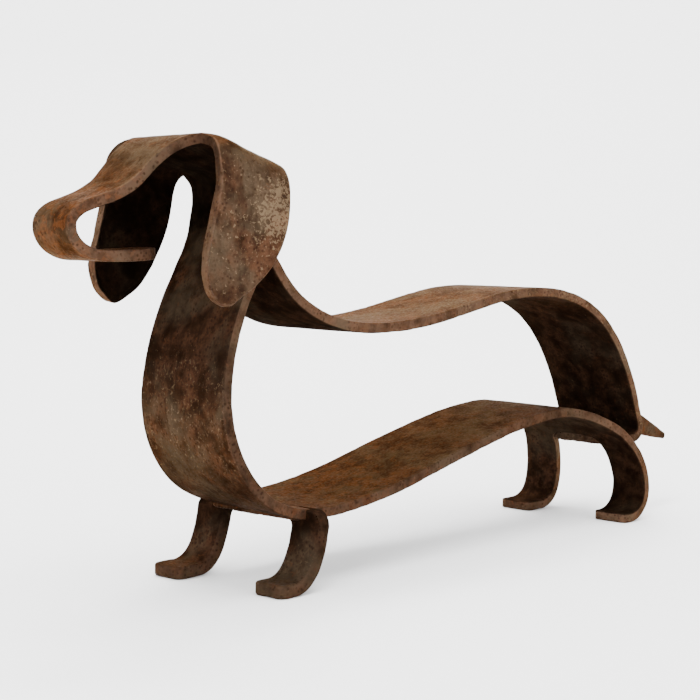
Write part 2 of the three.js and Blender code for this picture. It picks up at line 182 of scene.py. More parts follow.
@dataclass
class Path:
    """Side profile of a bent bar: place, half width and skew against distance along it."""

    distance: Array
    x: Array
    z: Array
    half: Array
    skew: Array

    @classmethod
    def along(cls, curve: Curve, start: float, end: float, samples: int = 6000) -> "Path":
        """Path of one stretch of a curve whose y is the half width.

        Args:
            curve: the curve, in x, half width and z.
            start: parameter at which the stretch starts.
            end: parameter at which it ends.
            samples: points taken on it.

        Returns:
            The path, without skew. Its distances are the sums of the steps between the samples.
        """
        points = curve.at(np.linspace(start, end, samples))
        steps = np.hypot(np.diff(points[:, 0]), np.diff(points[:, 2]))
        distance = np.concatenate([[0.0], np.cumsum(steps)])
        return cls(distance, points[:, 0], points[:, 2], points[:, 1], np.zeros(samples))

    @property
    def length(self) -> float:
        """Length of the whole path."""
        return float(self.distance[-1])

    def extended(self, length: float) -> "Path":
        """The path carried on level towards the nose, as the sole of a foot.

        Args:
            length: how far it is carried on.

        Returns:
            The longer path, with its last width and skew.
        """
        return Path(
            np.append(self.distance, self.length + length),
            np.append(self.x, self.x[-1] - length),
            np.append(self.z, self.z[-1]),
            np.append(self.half, self.half[-1]),
            np.append(self.skew, self.skew[-1]),
        )

    def width(self, along: Array) -> Array:
        """Half width at distances along the path."""
        return np.interp(along, self.distance, self.half)

    def place(self, along: Array, across: Array) -> Array:
        """Points of the bar's middle sheet: x is the profile's x less the skew times y.

        Args:
            along: distances along the path.
            across: y of each point, of the same shape.

        Returns:
            Points, with the coordinates in the last axis.
        """
        x = np.interp(along, self.distance, self.x) - np.interp(along, self.distance, self.skew) * across
        return np.stack([x, across, np.interp(along, self.distance, self.z)], axis=-1)

    def offset(self, rise: float) -> Array:
        """Side view of one face of the bar: the profile moved along its normal.

        Args:
            rise: distance from the profile, above it where positive.

        Returns:
            Points (x, z), one for each sample of the path.
        """
        line = np.stack([self.x, self.z], axis=-1)
        direction = np.gradient(line, axis=0)
        direction /= np.linalg.norm(direction, axis=1)[:, None]
        return line + rise * np.stack([-direction[:, 1], direction[:, 0]], axis=-1)


def even(start: float, end: float, step: float) -> Array:
    """Evenly spaced values from start to end, about a step apart."""
    return np.linspace(start, end, max(2, round(abs(end - start) / step) + 1))


def quarter_stops(length: float, count: int = 10) -> Array:
    """Distances from the square end of a quarter round: length times one less a cosine."""
    return length * (1.0 - np.cos(np.linspace(0.0, math.pi / 2.0, count + 1)))


def quarter(distance: Array, length: float) -> Array:
    """Share of its reach that a quarter round has at a distance: a circle's arc."""
    left = np.clip(1.0 - distance / length, 0.0, 1.0)
    return np.sqrt(1.0 - left * left)


# Largest share of a strip's width that the cell beside an edge takes.
WIDEST_MARGIN = 0.3


def columns(inner: Array, outer: Array, cells: int, margin: float) -> Array:
    """Values across a strip: even between its edges, with a fixed margin beside each edge.

    Args:
        inner: value at one edge, one for each row.
        outer: value at the other edge.
        cells: cells between them.
        margin: width of the cell beside each edge, at most the widest share of a narrow strip.

    Returns:
        Values of shape (rows, cells + 1).
    """
    side = np.minimum(margin, WIDEST_MARGIN * (outer - inner))
    share = np.linspace(0.0, 1.0, cells - 1)
    middle = (inner + side)[:, None] + (outer - inner - 2.0 * side)[:, None] * share
    return np.concatenate([inner[:, None], middle, outer[:, None]], axis=1)


def round_corner(side: Array, end: Array, reach_side: Array, reach_end: float) -> tuple[Array, Array]:
    """Rounds a plate's corner: a square grid in the corner becomes a grid in a quarter of an ellipse.

    With a and b as one less the shares of the two reaches, a becomes a * sqrt(1 - b^2 / 2) and b
    becomes b * sqrt(1 - a^2 / 2).

    Args:
        side: distances from the side edge.
        end: distances from the end edge.
        reach_side: radius across.
        reach_end: radius along.

    Returns:
        The new distances from the side and from the end.
    """
    a = np.clip(1.0 - side / reach_side, 0.0, None)
    b = np.clip(1.0 - end / reach_end, 0.0, None)
    inside = (a > 0.0) & (b > 0.0)
    new_side = reach_side * (1.0 - a * np.sqrt(1.0 - b * b / 2.0))
    new_end = reach_end * (1.0 - b * np.sqrt(1.0 - a * a / 2.0))
    return np.where(inside, new_side, side), np.where(inside, new_end, end)


def rounded_ends(along: Array, across: Array, inner: Array, outer: Array,
                 end: float, radius: float) -> tuple[Array, Array]:
    """Rounds both corners at the far end of a strip.

    Args:
        along: distances along the strip, shape (rows, columns).
        across: distances across it.
        inner: value of across at one edge, one for each row.
        outer: value of across at the other edge.
        end: distance along at which the strip ends.
        radius: corner radius.

    Returns:
        New along and across.
    """
    side, left = round_corner(across - inner[:, None], end - along, radius, radius)
    across, along = inner[:, None] + side, end - left
    side, left = round_corner(outer[:, None] - across, end - along, radius, radius)
    return end - left, outer[:, None] - side


# Sides, from 0 in the rim's middle to 1 on a face, over which a face's marks set in and a rim's end.
FACE_TURN = (0.2, 0.9)
RIM_TURN = (0.4, 0.9)


@dataclass
class Surface:
    """Points of a closed mesh, with what the marks of the finishes are worked out from."""

    points: Array
    normals: Array
    side: Array
    edge: Array

    @property
    def below(self) -> Array:
        """Share of the lower or inner face: 1 on it, 0 on the other face and the rim's middle."""
        return ramp(-self.side, *FACE_TURN)

    @property
    def rim(self) -> Array:
        """Share of the rim: 1 in its middle, 0 on both faces."""
        return 1.0 - ramp(np.abs(self.side), *RIM_TURN)


def vertex_normals(points: Array, faces: Array) -> Array:
    """Unit normals at the vertices: the sum of the normals of the faces round each one.

    A face's normal is the cross product of its diagonals, so larger faces count more.

    Args:
        points: vertices, shape (n, 3).
        faces: quads as vertex numbers.

    Returns:
        One unit vector for each vertex.
    """
    diagonals = points[faces[:, 2]] - points[faces[:, 0]], points[faces[:, 3]] - points[faces[:, 1]]
    each = np.cross(*diagonals)
    corners = faces.ravel()
    repeated = np.repeat(each, 4, axis=0)
    total = np.stack([np.bincount(corners, repeated[:, k], len(points)) for k in range(3)], axis=-1)
    return total / np.maximum(np.linalg.norm(total, axis=1), TINY)[:, None]


@dataclass
class Sheet:
    """Middle sheet of a bent plate, made of grids that share their borders."""

    thickness: float
    edge_radius: float
    room_share: float = 0.7
    first_turn: float = 22.5
    rim_rings: int = 4
    merge_per_mm: float = 200.0
    grids: list[Array] = field(default_factory=list)
    quads: list[Array] = field(default_factory=list)

    def add(self, grid: Array, flip: bool = False) -> None:
        """Adds a grid of points, its upper side up where its rows run back.

        Args:
            grid: points of shape (rows, columns, 3).
            flip: whether its upper side is turned over.
        """
        rows, across = grid.shape[:2]
        first = sum(len(points) for points in self.grids)
        ids = first + np.arange(rows * across).reshape(rows, across)
        corners = [ids[:-1, :-1], ids[1:, :-1], ids[1:, 1:], ids[:-1, 1:]]
        if flip:
            corners.reverse()
        self.grids.append(grid.reshape(-1, 3))
        self.quads.append(np.stack(corners, axis=-1).reshape(-1, 4))

    def merged(self) -> tuple[Array, Array]:
        """The grids as one mesh, in which points at the same place are one.

        Returns:
            Points without doubles, and the quads that join them.
        """
        points = np.concatenate(self.grids)
        places = np.round(points * self.merge_per_mm).astype(np.int64)
        _, first, index = np.unique(places, axis=0, return_index=True, return_inverse=True)
        return points[first], index.reshape(-1)[np.concatenate(self.quads)]

    def solid(self) -> tuple[Array, Array, Array, Array]:
        """Closed plate: the sheet moved half its thickness to each side, with a rounded rim.

        The rim's section is a straight wall between two quarter rounds. It is carried along the
        border: outwards by the cross product of the border's direction and the sheet's normal. Where
        the cell beside the border is narrow, the rounds take only a share of it.

        Returns:
            Points, quads, the side of each point from 1 above to -1 below, and its distance from
            the border of the sheet.
        """
        points, faces = self.merged()
        count = len(points)
        normals = vertex_normals(points, faces)
        start = faces.ravel()
        stop = np.roll(faces, -1, axis=1).ravel()
        border = ~np.isin(start * count + stop, stop * count + start)
        start_rim, stop_rim = start[border], stop[border]
        rim = np.unique(start_rim)
        slot = np.full(count, -1)
        slot[rim] = np.arange(len(rim))
        outward = np.zeros((count, 3))
        pushed = np.cross(points[stop_rim] - points[start_rim], normals[start_rim])
        np.add.at(outward, start_rim, pushed)
        np.add.at(outward, stop_rim, pushed)
        outward = outward[rim] / np.maximum(np.linalg.norm(outward[rim], axis=1), TINY)[:, None]
        room = np.full(count, self.edge_radius / self.room_share)
        inward = (slot[start] >= 0) != (slot[stop] >= 0)
        lengths = np.linalg.norm(points[start[inward]] - points[stop[inward]], axis=1)
        np.minimum.at(room, start[inward], lengths)
        np.minimum.at(room, stop[inward], lengths)
        radius = (self.room_share * room[rim])[:, None]
        half = self.thickness / 2.0
        inset = np.zeros((count, 3))
        inset[rim] = -radius * outward
        shells = [points + inset + half * normals, points + inset - half * normals]
        quarter_turns = np.linspace(self.first_turn, 90.0, self.rim_rings)
        turns = [(turn, 1.0) for turn in quarter_turns]
        turns += [(180.0 - turn, -1.0) for turn in quarter_turns[::-1]]
        rings, sides = [], []
        for turn, face in turns:
            out, up = math.sin(math.radians(turn)) - 1.0, math.cos(math.radians(turn))
            lift = face * (half - radius) + radius * up
            rings.append(points[rim] + radius * out * outward + lift * normals[rim])
            sides.append(np.full(len(rim), up))
        ring_ids = [2 * count + k * len(rim) + np.arange(len(rim)) for k in range(len(rings))]
        ids = [rim, *ring_ids, count + rim]
        a, b = slot[start_rim], slot[stop_rim]
        walls = [np.stack([near[b], near[a], far[a], far[b]], axis=-1) for near, far in zip(ids, ids[1:])]
        distance = self.from_border(points, points[rim])
        return (
            np.concatenate([*shells, *rings]),
            np.concatenate([faces, faces[:, ::-1] + count, *walls]),
            np.concatenate([np.ones(count), -np.ones(count), *sides]),
            np.concatenate([distance, distance, np.zeros(len(rings) * len(rim))]),
        )

    @staticmethod
    def from_border(points: Array, border: Array, batch: int = 2000) -> Array:
        """Distance of each point from the nearest border point.

        Args:
            points: the points.
            border: points of the border.
            batch: points worked out at a time, to save memory.

        Returns:
            One distance for each point.
        """
        parts = []
        for first in range(0, len(points), batch):
            apart = points[first:first + batch, None] - border[None]
            parts.append(np.sqrt((apart ** 2).sum(axis=2).min(axis=1)))
        return np.concatenate(parts)


@dataclass(frozen=True)
class Relief:
    """Hand-worked unevenness: faces only ever sink, so the plate keeps its outline."""

    swell: float = 0.22
    swell_size: float = 21.0
    dent: float = 0.2
    dent_size: float = 6.5
    dent_levels: Span = (0.45, 0.9)
    pit: float = 0.16
    pit_size: float = 2.9
    pit_levels: Span = (0.55, 0.95)
    seed: int = 11

    def depth(self, points: Array) -> Array:
        """Depth of the face: broad swells, plus hammer dents and fine pits where their fields are high.

        Args:
            points: positions in millimetres.

        Returns:
            One depth for each point.
        """
        swell = self.swell * lumps(points, self.swell_size, self.seed)
        dent = self.dent * ramp(lumps(points, self.dent_size, self.seed + 1), *self.dent_levels)
        pit = self.pit * ramp(lumps(points, self.pit_size, self.seed + 2), *self.pit_levels)
        return swell + dent + pit


def mesh_object(name: str, points: Array, faces: Array, marks: dict[Mark, Array]) -> bpy.types.Object:
    """Makes a smooth-shaded object with its place in its mesh.

    Args:
        name: the piece's name.
        points: vertices in metres.
        faces: quads as vertex numbers.
        marks: a value for each vertex, stored as attributes.

    Returns:
        The object, linked to the scene.
    """
    mesh = bpy.data.meshes.new(name)
    mesh.vertices.add(len(points))
    mesh.vertices.foreach_set("co", points.astype(np.float32).ravel())
    mesh.loops.add(faces.size)
    mesh.loops.foreach_set("vertex_index", faces.astype(np.int32).ravel())
    mesh.polygons.add(len(faces))
    mesh.polygons.foreach_set("loop_start", np.arange(0, faces.size, 4, dtype=np.int32))
    mesh.update(calc_edges=True)
    mesh.polygons.foreach_set("use_smooth", np.ones(len(faces), dtype=bool))
    for mark, values in marks.items():
        attribute = mesh.attributes.new(mark.value, "FLOAT", "POINT")
        attribute.data.foreach_set("value", values.astype(np.float32))
    mesh.validate()
    made = bpy.data.objects.new(name, mesh)
    bpy.context.scene.collection.objects.link(made)
    return made


class Wiring:
    """Adds nodes to a node tree, each with its values and links given at once."""

    def __init__(self, tree: bpy.types.NodeTree) -> None:
        """Starts on an empty tree."""
        self.tree = tree
        self.column = 0

    def node(self, kind: str, inputs: dict | None = None, **settings: object) -> bpy.types.Node:
        """Adds a node.

        Args:
            kind: Blender's name of the node type.
            inputs: value or output socket for each input, by name or number.
            **settings: attributes of the node.

        Returns:
            The node.
        """
        made = self.tree.nodes.new(kind)
        self.column += 1
        made.location = (180 * self.column, 0)
        for key, value in settings.items():
            setattr(made, key, value)
        for key, value in (inputs or {}).items():
            if isinstance(value, bpy.types.NodeSocket):
                self.tree.links.new(value, made.inputs[key])
            else:
                made.inputs[key].default_value = value
        return made

    def math(self, operation: str, *values: object) -> Socket:
        """Output of a Math node, clamped to 0 to 1."""
        made = self.node("ShaderNodeMath", dict(enumerate(values)), operation=operation, use_clamp=True)
        return made.outputs[0]

    def span(self, value: object, low: float, high: float, to_low: float = 0.0,
             to_high: float = 1.0) -> Socket:
        """Output of a Map Range node with a smooth step.

        Args:
            value: what is mapped.
            low: value at which the step starts.
            high: value at which it ends.
            to_low: output before the step.
            to_high: output after it.

        Returns:
            The mapped value.
        """
        inputs = {"Value": value, "From Min": low, "From Max": high, "To Min": to_low, "To Max": to_high}
        made = self.node("ShaderNodeMapRange", inputs, interpolation_type="SMOOTHSTEP")
        return made.outputs["Result"]

    def mix(self, share: object, first: object, second: object, blend: str = "MIX") -> Socket:
        """Output of a Mix Color node.

        Args:
            share: share of the second colour.
            first: the colour below.
            second: the colour above.
            blend: Blender's name of the way they are blended.

        Returns:
            The mixed colour.
        """
        inputs = {0: share, 6: first, 7: second}
        made = self.node("ShaderNodeMix", inputs, data_type="RGBA", blend_type=blend)
        return made.outputs[2]

    def cover(self, under: object, colour: Colour, mask: object, share: float) -> Socket:
        """A colour laid over another one, as far as a mask times a share lets it."""
        return self.mix(self.math("MULTIPLY", mask, share), under, solid_colour(colour))

    def noise(self, vector: object, scale: object, detail: float = 4.0, rough: float = 0.55,
              warp: float = 0.0) -> Socket:
        """Value of a Noise Texture node.

        Args:
            vector: the coordinates.
            scale: lumps to a metre.
            detail: layers of finer noise.
            rough: strength of each finer layer beside the one before.
            warp: how far the lumps are pulled out of shape.

        Returns:
            The noise, from 0 to 1.
        """
        inputs = {"Vector": vector, "Scale": scale, "Detail": detail, "Roughness": rough, "Distortion": warp}
        return self.node("ShaderNodeTexNoise", inputs).outputs["Fac"]


def solid_colour(colour: Colour) -> tuple[float, float, float, float]:
    """Colour with full alpha, as sockets take it."""
    return (*colour, 1.0)


@dataclass
class Effect:
    """A shader node group with named sockets, built once and placed in several materials."""

    name: str
    inputs: dict[str, str]
    outputs: dict[str, str]
    build: Callable[[Wiring, Sockets], Sockets]
    tree: bpy.types.NodeTree | None = None

    def group(self) -> bpy.types.NodeTree:
        """The group's tree, made on first use.

        Returns:
            The node tree that every place of the effect shares.
        """
        if self.tree is None:
            self.tree = bpy.data.node_groups.new(self.name, "ShaderNodeTree")
            for direction, sockets in (("INPUT", self.inputs), ("OUTPUT", self.outputs)):
                for label, kind in sockets.items():
                    self.tree.interface.new_socket(label, in_out=direction, socket_type=kind)
            wiring = Wiring(self.tree)
            entry = wiring.node("NodeGroupInput")
            results = self.build(wiring, {label: entry.outputs[label] for label in self.inputs})
            wiring.node("NodeGroupOutput", results)
        return self.tree

    def place(self, wiring: Wiring, inputs: dict[str, object]) -> Sockets:
        """Places the group in a material.

        Args:
            wiring: the material's wiring.
            inputs: value or output socket for each of the group's inputs.

        Returns:
            The group's outputs by name.
        """
        made = wiring.node("ShaderNodeGroup")
        made.node_tree = self.group()
        for label, value in inputs.items():
            if isinstance(value, bpy.types.NodeSocket):
                wiring.tree.links.new(value, made.inputs[label])
            else:
                made.inputs[label].default_value = value
        return {label: made.outputs[label] for label in self.outputs}


FLOAT, COLOR, VECTOR = "NodeSocketFloat", "NodeSocketColor", "NodeSocketVector"


def build_mottle(w: Wiring, given: Sockets) -> Sockets:
    """Mottled patina: three browns blended by broad and middling noise, then speckled finely.

    Args:
        w: the group's wiring.
        given: the coordinates and the three browns.

    Returns:
        The colour, the fine grain and the cloudy noise.
    """
    place = given["Vector"]
    broad = w.noise(place, scale=30.0, detail=5.0, rough=0.6, warp=0.4)
    stains = w.noise(place, scale=52.0, warp=0.5)
    middling = w.noise(place, scale=90.0, detail=5.0, rough=0.6, warp=0.3)
    fine = w.noise(place, scale=620.0, rough=0.65)
    colour = w.mix(w.span(middling, 0.36, 0.62), given["Dark"], given["Brown"])
    colour = w.mix(w.span(broad, 0.44, 0.62, to_high=0.8), colour, given["Other"])
    colour = w.mix(w.span(stains, 0.5, 0.66, to_high=0.6), colour, given["Dark"])
    speckle = w.span(fine, 0.3, 0.7, to_low=0.76, to_high=1.24)
    grey = w.node("ShaderNodeCombineColor", {0: speckle, 1: speckle, 2: speckle}).outputs[0]
    return {"Color": w.mix(1.0, colour, grey, "MULTIPLY"), "Grain": fine, "Cloud": middling}


def build_streaks(w: Wiring, given: Sockets) -> Sockets:
    """Rain streaks: noise drawn out four times along z, so it runs down upright faces.

    Args:
        w: the group's wiring.
        given: the coordinates.

    Returns:
        The mask.
    """
    drawn = w.node("ShaderNodeMapping", {"Vector": given["Vector"], "Scale": (1.0, 1.0, 0.24)})
    fall = w.noise(drawn.outputs[0], scale=190.0, rough=0.6, warp=0.2)
    wide = w.noise(drawn.outputs[0], scale=70.0, detail=3.0, rough=0.5)
    return {"Mask": w.math("MULTIPLY", w.span(fall, 0.44, 0.66), w.span(wide, 0.4, 0.6))}


def build_rub(w: Wiring, given: Sockets) -> Sockets:
    """Rubbed edges: 1 at the border of the plate, gone at a distance that noise makes uneven.

    Args:
        w: the group's wiring.
        given: the coordinates, the distance from the border and how far the rubbing reaches.

    Returns:
        The mask.
    """
    uneven = w.noise(given["Vector"], scale=240.0, rough=0.6)
    reach = w.math("MULTIPLY", w.span(uneven, 0.32, 0.7, to_low=0.15), given["Reach"])
    share = w.node("ShaderNodeMath", {0: given["Edge"], 1: reach}, operation="DIVIDE").outputs[0]
    patchy = w.span(w.noise(given["Vector"], scale=130.0, detail=5.0, rough=0.65), 0.38, 0.62, to_low=0.25)
    return {"Mask": w.math("MULTIPLY", w.span(share, 0.25, 1.0, to_low=1.0, to_high=0.0), patchy)}


def build_flecks(w: Wiring, given: Sockets) -> Sockets:
    """Flecks: fine noise above a level that falls as the cover rises.

    Args:
        w: the group's wiring.
        given: the coordinates, the flecks' scale and their cover.

    Returns:
        The mask.
    """
    fine = w.noise(given["Vector"], given["Scale"], detail=6.0, rough=0.68, warp=0.6)
    level = w.node("ShaderNodeMath", {0: given["Cover"], 1: 0.24, 2: -0.66}, operation="MULTIPLY_ADD")
    over = w.node("ShaderNodeMath", {0: fine, 1: level.outputs[0]}, operation="ADD")
    return {"Mask": w.span(over.outputs[0], 0.0, 0.09)}


def build_pits(w: Wiring, given: Sockets) -> Sockets:
    """Corrosion pits: round cells of a warped Voronoi pattern, kept where noise is high.

    Args:
        w: the group's wiring.
        given: the coordinates and the pits' scale.

    Returns:
        The mask.
    """
    warp = w.node("ShaderNodeTexNoise", {"Vector": given["Vector"], "Scale": 300.0})
    shift = w.node("ShaderNodeVectorMath", {0: warp.outputs["Color"], "Scale": 0.0012}, operation="SCALE")
    moved = w.node("ShaderNodeVectorMath", {0: given["Vector"], 1: shift.outputs[0]})
    cells = w.node("ShaderNodeTexVoronoi", {"Vector": moved.outputs[0], "Scale": given["Scale"]})
    kept = w.span(w.noise(given["Vector"], scale=90.0, detail=3.0), 0.42, 0.6)
    hollow = w.span(cells.outputs["Distance"], 0.12, 0.5, to_low=1.0, to_high=0.0)
    return {"Mask": w.math("MULTIPLY", hollow, kept)}


MOTTLE = Effect("patina_mottle", {"Vector": VECTOR, "Dark": COLOR, "Brown": COLOR, "Other": COLOR},
                {"Color": COLOR, "Grain": FLOAT, "Cloud": FLOAT}, build_mottle)
STREAKS = Effect("rain_streaks", {"Vector": VECTOR}, {"Mask": FLOAT}, build_streaks)
RUB = Effect("rubbed_edge", {"Vector": VECTOR, "Edge": FLOAT, "Reach": FLOAT}, {"Mask": FLOAT}, build_rub)
FLECKS = Effect("flecks", {"Vector": VECTOR, "Scale": FLOAT, "Cover": FLOAT}, {"Mask": FLOAT}, build_flecks)
PITS = Effect("corrosion_pits", {"Vector": VECTOR, "Scale": FLOAT}, {"Mask": FLOAT}, build_pits)


@dataclass(frozen=True)
class Rust:
    """Finish of old waxed rust on mild steel, worked out from the marks on each vertex."""

    name: str
    dark: Colour = (0.0165, 0.0078, 0.0042)
    brown: Colour = (0.066, 0.0305, 0.0165)
    other: Colour = (0.064, 0.045, 0.028)
    orange: Colour = (0.118, 0.040, 0.015)
    pale: Colour = (0.18, 0.123, 0.073)
    rubbed: Colour = (0.098, 0.057, 0.036)
    # Near-black colour mixed in for painted shade, and for the welds' dark scale.
    shade_and_scale_colour: Colour = (0.0024, 0.0013, 0.0007)
    glint: Colour = (0.60, 0.49, 0.42)
    streak_share: float = 0.6
    orange_share: float = 0.45
    pale_share: float = 0.55
    rubbed_share: float = 0.5
    pit_share: float = 0.75
    thinnest_shade: float = 0.86
    cloud_range: Span = (0.25, 0.75)
    grain_range: Span = (0.3, 0.7)
    clean_rim: Span = (0.0005, 0.004)
    reach: float = 0.0032
    orange_scale: float = 170.0
    pale_scale: float = 480.0
    pit_scale: float = 420.0
    roughness: Span = (0.42, 0.72)
    metallic: float = 0.7
    grain_height: float = 0.35
    pit_height: float = 0.5
    bump: float = 0.22
    bump_depth: float = 0.0009

    def material(self) -> bpy.types.Material:
        """Builds the material.

        From below: mottled patina, dark streaks, orange rust, pale worn patches, rubbed edges, pits
        and soot on sheltered faces.

        Returns:
            The material, named as the finish.
        """
        made = bpy.data.materials.new(self.name)
        made.use_nodes = True
        made.node_tree.nodes.clear()
        w = Wiring(made.node_tree)
        place = w.node("ShaderNodeTexCoord").outputs["Object"]
        mark = {m: w.node("ShaderNodeAttribute", attribute_name=m.value).outputs["Fac"] for m in Mark}
        browns = {"Dark": self.dark, "Brown": self.brown, "Other": self.other}
        browns = {label: solid_colour(colour) for label, colour in browns.items()}
        mottle = MOTTLE.place(w, {"Vector": place, **browns})
        streaks = STREAKS.place(w, {"Vector": place})
        rub = RUB.place(w, {"Vector": place, "Edge": mark[Mark.EDGE], "Reach": self.reach})
        pits = PITS.place(w, {"Vector": place, "Scale": self.pit_scale})
        warm = FLECKS.place(w, {"Vector": place, "Scale": self.orange_scale, "Cover": mark[Mark.WARM]})
        pale_wear_and_sheen = FLECKS.place(w, {"Vector": place, "Scale": self.pale_scale, "Cover": mark[Mark.PATCH]})
        fallen = w.math("MULTIPLY", streaks["Mask"], w.span(mark[Mark.EDGE], *self.clean_rim))
        colour = w.cover(mottle["Color"], self.dark, fallen, self.streak_share)
        colour = w.cover(colour, self.orange, warm["Mask"], self.orange_share)
        # Pale patches: worn flaking, and on the back's upper face also a painted sheen.
        colour = w.cover(colour, self.pale, pale_wear_and_sheen["Mask"], self.pale_share)
        colour = w.cover(colour, self.rubbed, rub["Mask"], self.rubbed_share)
        colour = w.cover(colour, self.dark, pits["Mask"], self.pit_share)
        # Painted shade: the colour is mixed towards near black as far as the shade mark goes, broken up by
        # the cloudy noise.
        cloud = w.span(mottle["Cloud"], *self.cloud_range, to_low=1.0, to_high=self.thinnest_shade)
        shade_share = w.math("MULTIPLY", mark[Mark.SHELTER], cloud)
        colour = w.mix(shade_share, colour, solid_colour(self.shade_and_scale_colour))
        rough = w.span(mottle["Grain"], *self.grain_range, *self.roughness)
        height = w.math("MULTIPLY_ADD", mottle["Grain"], self.grain_height, mottle["Cloud"])
        sunk = w.math("SUBTRACT", height, w.math("MULTIPLY", pits["Mask"], self.pit_height))
        # Painted shade also takes the metal away, and with it the sheen.
        metal = w.span(mark[Mark.SHELTER], 0.0, 1.0, to_low=self.metallic, to_high=0.0)
        bump = w.node("ShaderNodeBump", {"Strength": self.bump, "Distance": self.bump_depth, "Height": sunk})
        skin = w.node("ShaderNodeBsdfPrincipled", {
            "Base Color": colour, "Roughness": rough, "Metallic": metal,
            "Specular IOR Level": 0.0, "Specular Tint": solid_colour(self.glint), "Normal": bump.outputs[0],
        })
        w.node("ShaderNodeOutputMaterial", {"Surface": skin.outputs[0]})
        return made


@dataclass
class Workshop:
    """Places finished sheets in the frame and dresses them."""

    shift: Array
    relief: Relief = Relief()

    @classmethod
    def fitted(cls, sheet: Sheet, node: str) -> "Workshop":
        """Workshop whose shift brings a sheet's solid onto a node of the frame.

        Args:
            sheet: the sheet that stands for the node.
            node: the node's name.

        Returns:
            The workshop, which moves every piece by the same amount.
        """
        points = sheet.solid()[0]
        low, high = (np.array(corner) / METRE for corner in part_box(node))
        middle = (low + high) / 2.0 - (points.min(axis=0) + points.max(axis=0)) / 2.0
        return cls(np.array([middle[0], middle[1], 0.0]))

    def surface(self, sheet: Sheet) -> tuple[Surface, Array]:
        """Closed, uneven surface of a plate: its solid, sunk along its normals by the relief.

        Args:
            sheet: the plate's middle sheet.

        Returns:
            The surface, still in the classes' millimetres, and its quads.
        """
        points, faces, side, edge = sheet.solid()
        normals = vertex_normals(points, faces)
        points = points - normals * self.relief.depth(points)[:, None]
        return Surface(points, normals, side, edge), faces

    def piece(self, name: str, skin: Surface, faces: Array, fields: dict[Mark, Array], finish: Rust,
              slot: Slot) -> bpy.types.Object:
        """Makes one piece of the figure.

        Args:
            name: the piece's name.
            skin: its surface.
            faces: quads that join it.
            fields: values of the marks apart from the edge distance.
            finish: its finish.
            slot: slot of the record, which is only written to the log.

        Returns:
            The object, riding on the figure's only body.
        """
        marks = {Mark.EDGE: skin.edge * METRE, **fields}
        made = mesh_object(name, (skin.points + self.shift) * METRE, faces, marks)
        made.data.materials.append(finish.material())
        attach(made, BODY)
        LOG.info("%s: %d faces, %s", name, len(faces), slot.value)
        return made


NOSE_HALF = 16.8
BAR_HALF = 38.0
BROW_HALF = 30.5
HIP_FLARE = 13.5
PLATE = 6.4
LEG_PLATE = 8.0


def stations(*rows: tuple[float, ...]) -> Array:
    """Stations (x, z, half width) as points (x, half width, z)."""
    table = np.array(rows)
    return table[:, [0, 2, 1]]


